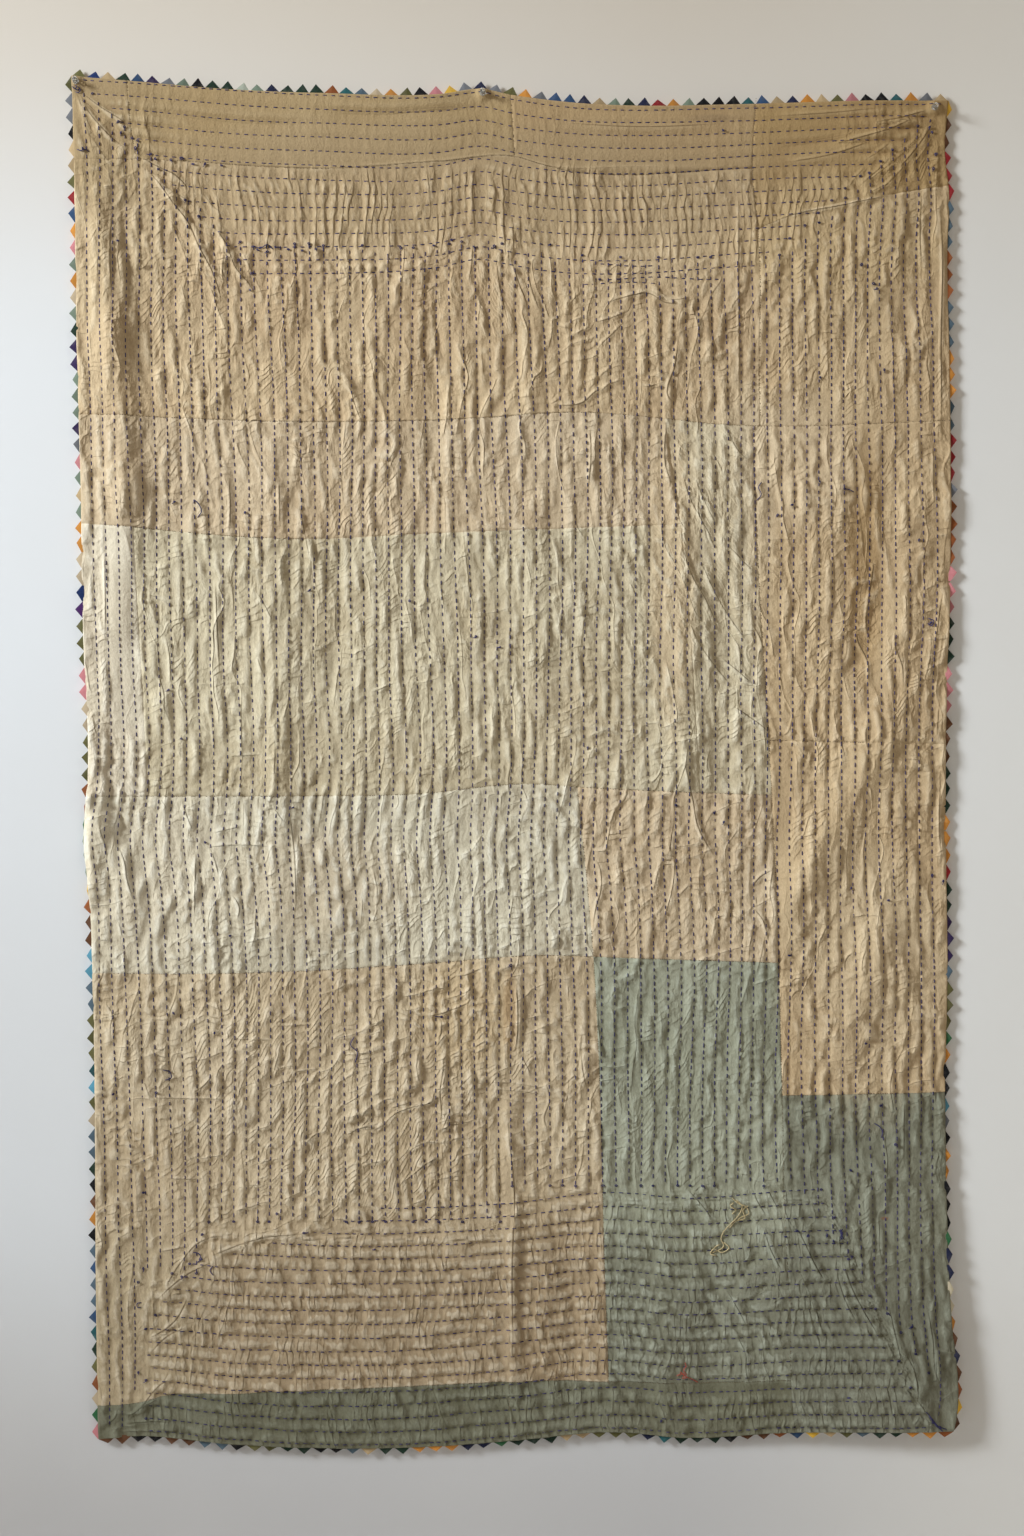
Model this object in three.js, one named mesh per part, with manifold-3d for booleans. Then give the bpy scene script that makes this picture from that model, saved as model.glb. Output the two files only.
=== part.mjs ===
// A ralli quilt hung on a wall by three push pins, seen from its pieced reverse.
//
// Millimetres, +Z up. The wall is the plane y = 0, the room is on the -Y side, and the origin is
// the middle of the quilt's top edge, on the wall. Heights are given as a drop below that origin.
//
// The cloth is two layers. The front cloth, with the old cloth quilted to it, lies against the
// wall. The reverse is pieced from 21 panels, which are cut here out of one sheet along their
// seams. A comb of folded triangles runs along each of the four sides.

import * as THREE from 'three';
import { mergeGeometries, mergeVertices } from 'three/addons/utils/BufferGeometryUtils.js';
import Module from 'manifold-3d';

const wasm = await Module();
wasm.setup();

// ---------------------------------------------------------------- driving dimensions

const QUILT_WIDTH = 1380; // side to side at the top, along the cloth
const QUILT_HEIGHT = 2130; // top edge to bottom edge
const FRONT_THICKNESS = 2.5; // front cloth with the layers stitched to it
const REVERSE_THICKNESS = 1.5; // pieced reverse
const GAP = 0.3; // between pieces that touch in the real quilt
const SEAM_GAP = 0.3; // between two neighbouring panels

const REST_STAND_OFF = 8; // wall to the hidden face of the cloth, away from the pins
const PINNED_STAND_OFF = 2; // the same, where a pin presses the cloth home
const PIN_REACH = 60; // how far round a pin the cloth is drawn to the wall

const TRIANGLES_TOP = 59; // folded triangles of the edging along each side
const TRIANGLES_RIGHT = 80;
const TRIANGLES_BOTTOM = 52;
const TRIANGLES_LEFT = 83;
const POINT_HEIGHT = 12; // how far a triangle stands out of the edge
const POINT_UNEVENNESS = 2.5; // the most that a triangle is taller, shorter or leaning
const EDGING_STRIP = 1.6; // width of the strip that the triangles stand on
const EDGING_THICKNESS = 1.2;
const ROLLED_POINT_REACH = 3; // how far a triangle that is turned back to the wall stands out

const NEEDLE_RADIUS = 0.5;
const NEEDLE_HOLE_RADIUS = 0.85; // round hole that a needle leaves through the cloth
const NEEDLE_LENGTH = 17; // from its tip in the wall to its end inside the grip
const NEEDLE_IN_GRIP = 6;
const GRIP_LENGTH = 12.5;
const GRIP_FLANGE_RADIUS = 5.6;
const GRIP_WAIST_RADIUS = 2.9;
const GRIP_HEAD_RADIUS = 4.8;

// ---------------------------------------------------------------- outline of the cloth

// Top edge: it is held at the three pins and sags between them.
const TOP_EDGE = [ // x, drop
  [-695, -30],
  [-607, -21],
  [-430, -6],
  [-300, -1],
  [-114, 0],
  [-46, -9],
  [0, 1],
  [107, 15],
  [202, 19],
  [344, 17],
  [567, 11],
  [688, 9],
];

const BOTTOM_EDGE = [ // x, drop
  [-652, 2120],
  [-592, 2115],
  [-430, 2128],
  [-177, 2133],
  [0, 2122],
  [155, 2108],
  [281, 2117],
  [423, 2108],
  [694, 2104],
];

// Left edge: it swells where the rim is rolled back to the wall.
const LEFT_EDGE = [ // drop, x
  [-30, -695],
  [46, -692],
  [188, -688],
  [373, -686],
  [583, -680],
  [908, -673],
  [1016, -667],
  [1095, -668],
  [1174, -675],
  [1251, -667],
  [1427, -660],
  [1901, -655],
  [2120, -652],
];

const RIGHT_EDGE = [ // drop, x
  [9, 688],
  [90, 683],
  [163, 690],
  [226, 687],
  [420, 690],
  [779, 691],
  [962, 685],
  [1251, 685],
  [1357, 687],
  [1569, 683],
  [1901, 689],
  [2082, 698],
  [2104, 694],
];

// ---------------------------------------------------------------- seams of the pieced reverse

// Seams across the quilt.
const ACROSS = { // x, drop
  underTopStrips: [[-720, 104], [-583, 104], [-288, 118], [-114, 107], [12, 101], [47, 112], [400, 118]],
  underTopRight: [[350, 232], [378, 218], [428, 196], [602, 158], [720, 138]],
  underField: [[-720, 504], [-651, 506], [-303, 517], [-73, 512], [96, 502], [370, 523], [720, 513]],
  underBand: [[-720, 674], [-596, 683], [-479, 694], [-360, 701], [-114, 692], [300, 677]],
  middle: [[-720, 1106], [-335, 1106], [-152, 1103], [28, 1087], [123, 1093], [297, 1101], [430, 1105]],
  rightMiddle: [[380, 1018], [720, 1025]],
  underScrap: [[620, 1122], [720, 1122]],
  low: [[-720, 1384], [-493, 1386], [-335, 1382], [-152, 1371], [76, 1357], [126, 1359], [440, 1369]],
  overGreen: [[400, 1578], [720, 1572]],
  overHem: [[-720, 2064], [-585, 2060], [-553, 2051], [-430, 2046], [-177, 2035], [0, 2027],
    [152, 2027], [297, 2030], [460, 2022]],
};

// Seams down the quilt.
const DOWN = { // drop, x
  corner: [[-60, -611], [-21, -607], [77, -596], [130, -585]],
  topMiddle: [[-30, -4], [130, 6]],
  upperRight: [[-20, 386], [103, 379], [134, 379], [210, 387], [479, 390], [560, 392]],
  tallLeft: [[480, 236], [678, 265], [1130, 299]],
  long: [[490, 378], [732, 387], [1016, 404], [1368, 420], [1574, 425], [1814, 431], [1926, 438],
    [2018, 438], [2160, 451]],
  leftStrip: [[660, -597], [1130, -571]],
  middle: [[1070, 101], [1359, 128], [1585, 139], [1822, 145], [2050, 153]],
  rightStrip: [[1000, 638], [1269, 641], [1600, 647]],
  hem: [[2000, -5], [2160, -3]],
};

// Lines well outside the cloth, for the panels that reach its edge.
const BEYOND = 60;
ACROSS.topEdge = [[-QUILT_WIDTH, -30 - BEYOND], [QUILT_WIDTH, -30 - BEYOND]];
ACROSS.bottomEdge = [[-QUILT_WIDTH, QUILT_HEIGHT + BEYOND], [QUILT_WIDTH, QUILT_HEIGHT + BEYOND]];
DOWN.leftEdge = [[-QUILT_HEIGHT, -QUILT_WIDTH / 2 - BEYOND], [2 * QUILT_HEIGHT, -QUILT_WIDTH / 2 - BEYOND]];
DOWN.rightEdge = [[-QUILT_HEIGHT, QUILT_WIDTH / 2 + BEYOND], [2 * QUILT_HEIGHT, QUILT_WIDTH / 2 + BEYOND]];

const TAN = 0xbfa983;
const CREAM = 0xcbbb98;
const SAGE = 0xc0bd9e;
const PINK_TAN = 0xcbb293;
const GREEN = 0x929a80;

const PANELS = [ // name, top seam, right seam, bottom seam, left seam, colour
  ['back_top_corner', 'topEdge', 'corner', 'underTopStrips', 'leftEdge', TAN],
  ['back_top_strip_left', 'topEdge', 'topMiddle', 'underTopStrips', 'corner', TAN],
  ['back_top_strip_middle', 'topEdge', 'upperRight', 'underTopStrips', 'topMiddle', TAN],
  ['back_top_strip_right', 'topEdge', 'rightEdge', 'underTopRight', 'upperRight', TAN],
  ['back_field', 'underTopStrips', 'upperRight', 'underField', 'leftEdge', TAN],
  ['back_field_right', 'underTopRight', 'rightEdge', 'underField', 'upperRight', TAN],
  ['back_band', 'underField', 'tallLeft', 'underBand', 'leftEdge', PINK_TAN],
  ['back_sage_tall', 'underField', 'long', 'middle', 'tallLeft', SAGE],
  ['back_left_strip', 'underBand', 'leftStrip', 'middle', 'leftEdge', CREAM],
  ['back_sage_upper', 'underBand', 'tallLeft', 'middle', 'leftStrip', SAGE],
  ['back_sage_lower', 'middle', 'middle', 'low', 'leftEdge', SAGE],
  ['back_pink', 'middle', 'long', 'low', 'middle', PINK_TAN],
  ['back_right_upper', 'underField', 'rightEdge', 'rightMiddle', 'long', TAN],
  ['back_right_lower', 'rightMiddle', 'rightStrip', 'overGreen', 'long', TAN],
  ['back_right_scrap', 'rightMiddle', 'rightEdge', 'underScrap', 'rightStrip', TAN],
  ['back_right_strip', 'underScrap', 'rightEdge', 'overGreen', 'rightStrip', TAN],
  ['back_lower_left', 'low', 'middle', 'overHem', 'leftEdge', CREAM],
  ['back_green_left', 'low', 'long', 'overHem', 'middle', GREEN],
  ['back_green_right', 'overGreen', 'rightEdge', 'bottomEdge', 'long', GREEN],
  ['back_hem_left', 'overHem', 'hem', 'bottomEdge', 'leftEdge', GREEN],
  ['back_hem_right', 'overHem', 'long', 'bottomEdge', 'hem', GREEN],
];

// ---------------------------------------------------------------- how the cloth hangs

const PINS = [ // name, x, drop
  ['left', -687, -20],
  ['middle', -46, -1],
  ['right', 665, 22],
];

// Soft folds. Each runs straight from one place to another, is a ridge where its height is
// positive and a trough where it is negative, and fades over its half width.
const FOLDS = [ // x, drop, x, drop, half width, height
  [-652, 190, -628, 380, 44, 10],
  [-628, 380, -608, 610, 44, 11],
  [-608, 610, -618, 830, 40, 7],
  [-655, 1020, -645, 1150, 24, 6],
  [-664, 1110, -660, 1240, 22, 8],
  [-645, 1150, -598, 1270, 24, 5],
  [-604, 1490, -512, 1740, 46, 6],
  [-376, 600, -370, 1060, 34, 4.5],
  [-370, 1060, -364, 1320, 34, 4],
  [-268, 730, -276, 890, 26, -3],
  [-120, 320, -127, 640, 28, -3.5],
  [33, 320, 36, 480, 26, 3.5],
  [32, 670, 44, 960, 30, 3.5],
  [268, 700, 268, 1080, 34, 4.5],
  [336, 800, 336, 1080, 30, -4],
  [636, 210, 618, 480, 36, -4],
  [600, 600, 553, 890, 44, -6],
  [580, 1015, 442, 1275, 46, 9],
  [586, 1320, 528, 1490, 38, 7],
  [-2, 1585, 2, 2020, 18, 4],
  [88, 1790, 92, 2030, 40, -5],
  [236, 1885, 244, 2050, 30, 4],
  [320, 1840, 320, 2030, 34, -4],
];

// The left rim is rolled back to the wall here, and hides its triangles.
const ROLL_START = 1110;
const ROLL_END = 1260;
const ROLL_WIDTH = 14;
const ROLL_DEPTH = 8;

// The bottom right corner stands away from the wall.
const CORNER_LIFT = 16;
const CORNER_WIDTH = 420;
const CORNER_HEIGHT = 620;

// ---------------------------------------------------------------- reading the tables

function mix(a, b, t) {
  return a + (b - a) * t;
}

function smoothStep(t) {
  const clamped = Math.min(1, Math.max(0, t));
  return clamped * clamped * (3 - 2 * clamped);
}

// Straight lines between the rows of a table: its first column in, its second out.
function straight(rows, at) {
  let i = 0;
  while (i < rows.length - 2 && at > rows[i + 1][0]) i += 1;
  const [a, b] = [rows[i], rows[i + 1]];
  return mix(a[1], b[1], (at - a[0]) / (b[0] - a[0]));
}

// The place at a fraction u across and v down between four lines.
function between(top, right, bottom, left, u, v) {
  let x = mix(left[0][1], right[0][1], u);
  let drop = 0;
  for (let step = 0; step < 8; step += 1) {
    drop = mix(straight(top, x), straight(bottom, x), v);
    x = mix(straight(left, drop), straight(right, drop), u);
  }
  return { x, drop };
}

// ---------------------------------------------------------------- depth of the hanging cloth

function foldHeight(x, drop) {
  let height = 0;
  for (const [x0, drop0, x1, drop1, halfWidth, foldTop] of FOLDS) {
    const [dx, dz] = [x1 - x0, drop1 - drop0];
    const t = ((x - x0) * dx + (drop - drop0) * dz) / (dx * dx + dz * dz);
    const nearest = Math.min(1, Math.max(0, t));
    const away = Math.hypot(x - mix(x0, x1, nearest), (drop - mix(drop0, drop1, nearest)) * 0.6);
    height += foldTop * Math.exp(-((away / (0.7 * halfWidth)) ** 2));
  }
  return height;
}

// Distance from the wall to the hidden face of the cloth.
function standOff(x, drop) {
  let pinned = 0;
  for (const [, pinX, pinDrop] of PINS) {
    const away = Math.hypot(x - pinX, drop - pinDrop);
    pinned = Math.max(pinned, Math.exp(-((away / PIN_REACH) ** 2)));
  }
  const lift = smoothStep((x - QUILT_WIDTH / 2 + CORNER_WIDTH) / CORNER_WIDTH)
    * smoothStep((drop - QUILT_HEIGHT + CORNER_HEIGHT) / CORNER_HEIGHT);
  const along = (drop - ROLL_START) / (ROLL_END - ROLL_START);
  const rolled = along > 0 && along < 1 ? Math.sin(Math.PI * along) : 0;
  const fromRim = x - straight(LEFT_EDGE, drop);
  const roll = rolled * ROLL_DEPTH * (1 - smoothStep(fromRim / ROLL_WIDTH));
  const hanging = mix(REST_STAND_OFF + foldHeight(x, drop), PINNED_STAND_OFF, pinned);
  return Math.max(PINNED_STAND_OFF, hanging + CORNER_LIFT * lift - roll);
}

// ---------------------------------------------------------------- solids

// A closed solid from a net of triangles that lies along the cloth: the net on its room side, the
// same net on its wall side, and a wall along each edge that one triangle alone uses.
function thicken(net, roomSide, wallSide) {
  const count = net.points.length;
  const positions = [];
  for (const side of [roomSide, wallSide]) {
    for (const p of net.points) positions.push(p.x, -(p.stand + side), -p.drop);
  }
  const index = [];
  const edges = new Map();
  for (const [a, b, c] of net.triangles) {
    index.push(a, b, c, c + count, b + count, a + count);
    for (const [from, to] of [[a, b], [b, c], [c, a]]) {
      if (edges.has(`${to} ${from}`)) edges.delete(`${to} ${from}`);
      else edges.set(`${from} ${to}`, [from, to]);
    }
  }
  for (const [from, to] of edges.values()) {
    index.push(to, from, from + count, to, from + count, to + count);
  }
  const geometry = new THREE.BufferGeometry();
  geometry.setAttribute('position', new THREE.Float32BufferAttribute(positions, 3));
  geometry.setIndex(index);
  return geometry;
}

function toManifold(geometry) {
  const bare = geometry.clone();
  bare.deleteAttribute('normal');
  bare.deleteAttribute('uv');
  const merged = mergeVertices(bare, 1e-4);
  return new wasm.Manifold(new wasm.Mesh({
    numProp: 3,
    vertProperties: new Float32Array(merged.attributes.position.array),
    triVerts: new Uint32Array(merged.index.array),
  }));
}

function toGeometry(manifold) {
  const mesh = manifold.getMesh();
  const geometry = new THREE.BufferGeometry();
  geometry.setAttribute('position', new THREE.BufferAttribute(new Float32Array(mesh.vertProperties), 3));
  geometry.setIndex(new THREE.BufferAttribute(new Uint32Array(mesh.triVerts), 1));
  return geometry;
}

const quilt = new THREE.Group();

function add(name, geometry, color, roughness, metalness = 0) {
  const material = new THREE.MeshStandardMaterial({ color, roughness, metalness });
  geometry.computeVertexNormals();
  const mesh = new THREE.Mesh(geometry, material);
  mesh.name = name;
  quilt.add(mesh);
  return mesh;
}

// ---------------------------------------------------------------- net that both layers share

// The cells are narrow in the two rims and low beside the rolled rim, where the folds are narrow.
const CELL_WIDTHS = [24, 24, 24, ...Array(24).fill(53), 30];
const CELL_HEIGHTS = [...Array(8).fill(142), 50, 50, 50, ...Array(6).fill(144)];

// Where the lines of the net lie, as fractions of the whole side.
function netLines(cells) {
  const whole = cells.reduce((sum, cell) => sum + cell, 0);
  const lines = [0];
  for (const cell of cells) lines.push(lines[lines.length - 1] + cell / whole);
  return lines;
}

const columns = netLines(CELL_WIDTHS);
const rows = netLines(CELL_HEIGHTS);
const stride = columns.length;

const clothNet = { points: [], triangles: [] };
for (const v of rows) {
  for (const u of columns) {
    const place = between(TOP_EDGE, RIGHT_EDGE, BOTTOM_EDGE, LEFT_EDGE, u, v);
    clothNet.points.push({ ...place, stand: standOff(place.x, place.drop) });
  }
}
for (let row = 0; row < CELL_HEIGHTS.length; row += 1) {
  for (let column = 0; column < CELL_WIDTHS.length; column += 1) {
    const a = row * stride + column;
    const b = a + stride;
    clothNet.triangles.push([b, b + 1, a + 1], [b, a + 1, a]);
  }
}

// ---------------------------------------------------------------- front cloth and panels

const needleHoles = PINS.map(([, x, drop]) => {
  const hole = new THREE.CylinderGeometry(NEEDLE_HOLE_RADIUS, NEEDLE_HOLE_RADIUS, 80, 12);
  hole.translate(x, 0, -drop);
  return toManifold(hole);
});

function pierced(solid) {
  let left = solid;
  for (const hole of needleHoles) left = left.subtract(hole);
  return left;
}

const reverseWall = FRONT_THICKNESS + GAP; // wall side of the reverse, from the hidden face
const reverseRoom = reverseWall + REVERSE_THICKNESS; // room side of the reverse

const frontCloth = pierced(toManifold(thicken(clothNet, FRONT_THICKNESS, 0)));
add('front_cloth', toGeometry(frontCloth), 0xa8927a, 0.95);

const reverse = pierced(toManifold(thicken(clothNet, reverseRoom, reverseWall)));

// The corner where a seam across meets a seam down.
function corner(across, down) {
  let x = down[0][1];
  for (let step = 0; step < 12; step += 1) x = straight(down, straight(across, x));
  return [x, straight(across, x)];
}

const moved = (rows, by) => rows.map(([at, value]) => [at, value + by]);
const inside = (rows, from, to) => rows.filter(([at]) => at > from + 1 && at < to - 1);

// A panel's outline, clockwise in x and drop from its top left corner, half a seam gap inside.
function panelOutline(topName, rightName, bottomName, leftName) {
  const half = SEAM_GAP / 2;
  const top = moved(ACROSS[topName], half);
  const bottom = moved(ACROSS[bottomName], -half);
  const left = moved(DOWN[leftName], half);
  const right = moved(DOWN[rightName], -half);
  const [a, b, c, d] = [corner(top, left), corner(top, right), corner(bottom, right), corner(bottom, left)];
  return [
    a,
    ...inside(top, a[0], b[0]),
    b,
    ...inside(right, b[1], c[1]).map(([drop, x]) => [x, drop]),
    c,
    ...inside(bottom, d[0], c[0]).reverse(),
    d,
    ...inside(left, a[1], d[1]).map(([drop, x]) => [x, drop]).reverse(),
  ];
}

for (const [name, top, right, bottom, left, color] of PANELS) {
  const outline = panelOutline(top, right, bottom, left).map(([x, drop]) => new THREE.Vector2(x, -drop));
  const block = new THREE.ExtrudeGeometry(new THREE.Shape(outline), { depth: 100, bevelEnabled: false });
  block.rotateX(Math.PI / 2);
  block.translate(0, 20, 0);
  add(name, toGeometry(reverse.intersect(toManifold(block))), color, 0.95);
}

// ---------------------------------------------------------------- edging

// One comb of folded triangles along a side. rim is the net's places along that side of the
// cloth, in order, with the outside on the left hand as they are walked.
function edgingNet(rim, count) {
  const reached = [0];
  for (let i = 1; i < rim.length; i += 1) {
    reached.push(reached[i - 1] + Math.hypot(rim[i].x - rim[i - 1].x, rim[i].drop - rim[i - 1].drop));
  }
  const length = reached[rim.length - 1];
  const outwardAt = (i) => {
    const before = rim[Math.max(0, i - 1)];
    const after = rim[Math.min(rim.length - 1, i + 1)];
    const [dx, dz] = [after.x - before.x, before.drop - after.drop];
    return [-dz / Math.hypot(dx, dz), dx / Math.hypot(dx, dz)];
  };

  const points = [];
  const triangles = [];
  // A point at a distance along the rim, moved out from it, along it and back towards the wall.
  const place = (distance, out, along = 0, back = () => 0) => {
    let i = 0;
    while (i < rim.length - 2 && distance > reached[i + 1]) i += 1;
    const t = (distance - reached[i]) / (reached[i + 1] - reached[i]);
    const [outX, outZ] = [0, 1].map((axis) => mix(outwardAt(i)[axis], outwardAt(i + 1)[axis], t));
    const stand = mix(rim[i].stand, rim[i + 1].stand, t);
    points.push({
      x: mix(rim[i].x, rim[i + 1].x, t) + outX * out + outZ * along,
      drop: mix(rim[i].drop, rim[i + 1].drop, t) - outZ * out + outX * along,
      stand: stand - back(stand),
    });
    return points.length - 1;
  };

  const roots = reached.map((distance) => place(distance, GAP));
  const valleys = [];
  for (let k = 0; k <= count; k += 1) valleys.push(place((length * k) / count, GAP + EDGING_STRIP));
  let [i, k] = [0, 0];
  while (i < roots.length - 1 || k < count) {
    const nextValley = k < count ? (length * (k + 1)) / count : Infinity;
    const nextRoot = i < roots.length - 1 ? reached[i + 1] : Infinity;
    if (nextValley <= nextRoot) {
      triangles.push([roots[i], valleys[k + 1], valleys[k]]);
      k += 1;
    } else {
      triangles.push([roots[i], roots[i + 1], valleys[k]]);
      i += 1;
    }
  }
  for (k = 0; k < count; k += 1) {
    const middle = (length * (k + 0.5)) / count;
    const { x, drop } = points[valleys[k]];
    const onRoll = x < 0 && drop > ROLL_START && drop < ROLL_END;
    const height = onRoll ? ROLLED_POINT_REACH : POINT_HEIGHT + POINT_UNEVENNESS * Math.sin(7.3 * k);
    const lean = POINT_UNEVENNESS * Math.sin(4.1 * k + 1);
    const back = (stand) => (onRoll ? stand - PINNED_STAND_OFF : 0);
    triangles.push([valleys[k], valleys[k + 1], place(middle, GAP + EDGING_STRIP + height, lean, back)]);
  }
  return { points, triangles };
}

const acrossAt = (row) => columns.map((_, column) => clothNet.points[row * stride + column]);
const downAt = (column) => rows.map((_, row) => clothNet.points[row * stride + column]);
const SIDES = [ // name, places along the side, how many triangles
  ['edging_top', acrossAt(0), TRIANGLES_TOP],
  ['edging_right', downAt(columns.length - 1), TRIANGLES_RIGHT],
  ['edging_bottom', acrossAt(rows.length - 1).reverse(), TRIANGLES_BOTTOM],
  ['edging_left', downAt(0).reverse(), TRIANGLES_LEFT],
];

const edgingMiddle = (reverseRoom - EDGING_THICKNESS) / 2;
for (const [name, rim, count] of SIDES) {
  const comb = thicken(edgingNet(rim, count), edgingMiddle + EDGING_THICKNESS, edgingMiddle);
  add(name, comb, 0x4f5a5c, 0.9);
}

// ---------------------------------------------------------------- push pins

// The grip is turned about the pin's axis, which runs out of the wall. Its blind bore holds the
// needle. Radius and distance from the flange's face are the two columns.
const boreRadius = NEEDLE_RADIUS + GAP;
const GRIP_PROFILE = [ // radius, distance out from the flange's face
  [0, NEEDLE_IN_GRIP + GAP],
  [boreRadius, NEEDLE_IN_GRIP + GAP],
  [boreRadius, 0],
  [GRIP_FLANGE_RADIUS - 0.4, 0],
  [GRIP_FLANGE_RADIUS, 0.5],
  [GRIP_FLANGE_RADIUS - 0.3, 1.4],
  [GRIP_WAIST_RADIUS + 0.5, 2.6],
  [GRIP_WAIST_RADIUS, 5],
  [GRIP_WAIST_RADIUS + 0.3, 8.5],
  [GRIP_HEAD_RADIUS - 0.3, 10.4],
  [GRIP_HEAD_RADIUS, 11.2],
  [GRIP_HEAD_RADIUS - 0.5, GRIP_LENGTH],
  [0, GRIP_LENGTH],
];
const NEEDLE_PROFILE = [ // radius, distance out from the needle's tip
  [0, 0],
  [NEEDLE_RADIUS, 2.2],
  [NEEDLE_RADIUS, NEEDLE_LENGTH],
  [0, NEEDLE_LENGTH],
];

function turned(profile, sides) {
  const points = profile.map(([radius, out]) => new THREE.Vector2(radius, out));
  const body = new THREE.LatheGeometry(points, sides);
  body.rotateX(Math.PI);
  body.deleteAttribute('normal');
  body.deleteAttribute('uv');
  return mergeVertices(mergeGeometries([body]), 1e-4);
}

for (const [name, x, drop] of PINS) {
  const nearest = clothNet.points
    .map((p) => ({ stand: p.stand, away: Math.hypot(p.x - x, p.drop - drop) }))
    .sort((a, b) => a.away - b.away)
    .slice(0, 4);
  const clothFace = Math.max(...nearest.map((p) => p.stand)) + reverseRoom;
  const flange = clothFace + GAP;
  const grip = add(`pin_grip_${name}`, turned(GRIP_PROFILE, 16), 0xe6ebea, 0.15);
  grip.position.set(x, -flange, -drop);
  const needle = add(`pin_needle_${name}`, turned(NEEDLE_PROFILE, 10), 0xb8babd, 0.3, 1);
  needle.position.set(x, -flange - NEEDLE_IN_GRIP + NEEDLE_LENGTH, -drop);
}

export default quilt;
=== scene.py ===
import bpy
import numpy as np
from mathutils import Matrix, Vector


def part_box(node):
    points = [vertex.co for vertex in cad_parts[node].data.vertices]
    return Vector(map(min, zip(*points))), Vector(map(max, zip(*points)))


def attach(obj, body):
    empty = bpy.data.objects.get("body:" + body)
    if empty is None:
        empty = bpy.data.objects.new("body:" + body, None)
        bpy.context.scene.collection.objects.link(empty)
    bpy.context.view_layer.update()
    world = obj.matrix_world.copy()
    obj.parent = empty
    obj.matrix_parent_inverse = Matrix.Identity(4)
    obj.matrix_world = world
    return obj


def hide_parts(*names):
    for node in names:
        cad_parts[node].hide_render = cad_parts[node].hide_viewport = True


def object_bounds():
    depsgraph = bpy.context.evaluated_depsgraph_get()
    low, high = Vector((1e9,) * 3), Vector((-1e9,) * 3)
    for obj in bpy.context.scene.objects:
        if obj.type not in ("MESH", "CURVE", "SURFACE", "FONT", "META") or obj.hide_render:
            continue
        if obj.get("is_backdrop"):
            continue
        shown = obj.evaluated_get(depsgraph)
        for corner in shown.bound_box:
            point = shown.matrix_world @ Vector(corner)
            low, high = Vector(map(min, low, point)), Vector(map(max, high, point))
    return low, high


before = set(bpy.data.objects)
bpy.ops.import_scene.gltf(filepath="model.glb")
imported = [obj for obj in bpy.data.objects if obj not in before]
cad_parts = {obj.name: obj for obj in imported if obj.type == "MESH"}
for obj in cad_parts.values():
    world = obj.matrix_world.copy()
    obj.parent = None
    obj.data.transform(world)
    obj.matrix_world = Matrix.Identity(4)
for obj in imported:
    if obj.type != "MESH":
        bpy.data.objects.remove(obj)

cad_box = [list(corner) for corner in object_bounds()]

# ---------------------------------------------------------------- the room and its light
# The quilt hangs on a white plastered wall above a pale floor. Daylight comes softly from a
# window on the left, and the room gives back a weaker, warmer light from the right.

QUILT_MIDDLE = -1.062  # height of the middle of the quilt, below its top edge
VIEW_DISTANCE = 3.37
FLOOR_HEIGHT = -2.46
CEILING_HEIGHT = 5
WALL_FACE = 0.0006
ROOM_REACH = 9  # to each side of the quilt, and in front of the wall


def put_in(name, data):
    """Puts a lamp, a camera or a mesh in the room."""
    thing = bpy.data.objects.new(name, data)
    bpy.context.scene.collection.objects.link(thing)
    return thing


camera = put_in("camera", bpy.data.cameras.new("camera"))
camera.data.lens = 50
camera.data.sensor_width = 36
camera.location = (0, -VIEW_DISTANCE, QUILT_MIDDLE)
camera.rotation_euler = (np.pi / 2, 0, 0)
bpy.context.scene.camera = camera
bpy.context.scene.view_settings.view_transform = "Standard"


class Wire:
    """What comes out of a node's socket; sums on it lay Math nodes."""

    def __init__(self, finish, socket):
        self.finish = finish
        self.socket = socket

    def sum(self, operation, *values):
        return self.finish.node("ShaderNodeMath", {"operation": operation}, dict(enumerate(values)))

    def __add__(self, other):
        return self.sum("ADD", self, other)

    def __sub__(self, other):
        return self.sum("SUBTRACT", self, other)

    def __rsub__(self, other):
        return self.sum("SUBTRACT", other, self)

    def __mul__(self, other):
        return self.sum("MULTIPLY", self, other)

    __radd__ = __add__
    __rmul__ = __mul__


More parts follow.
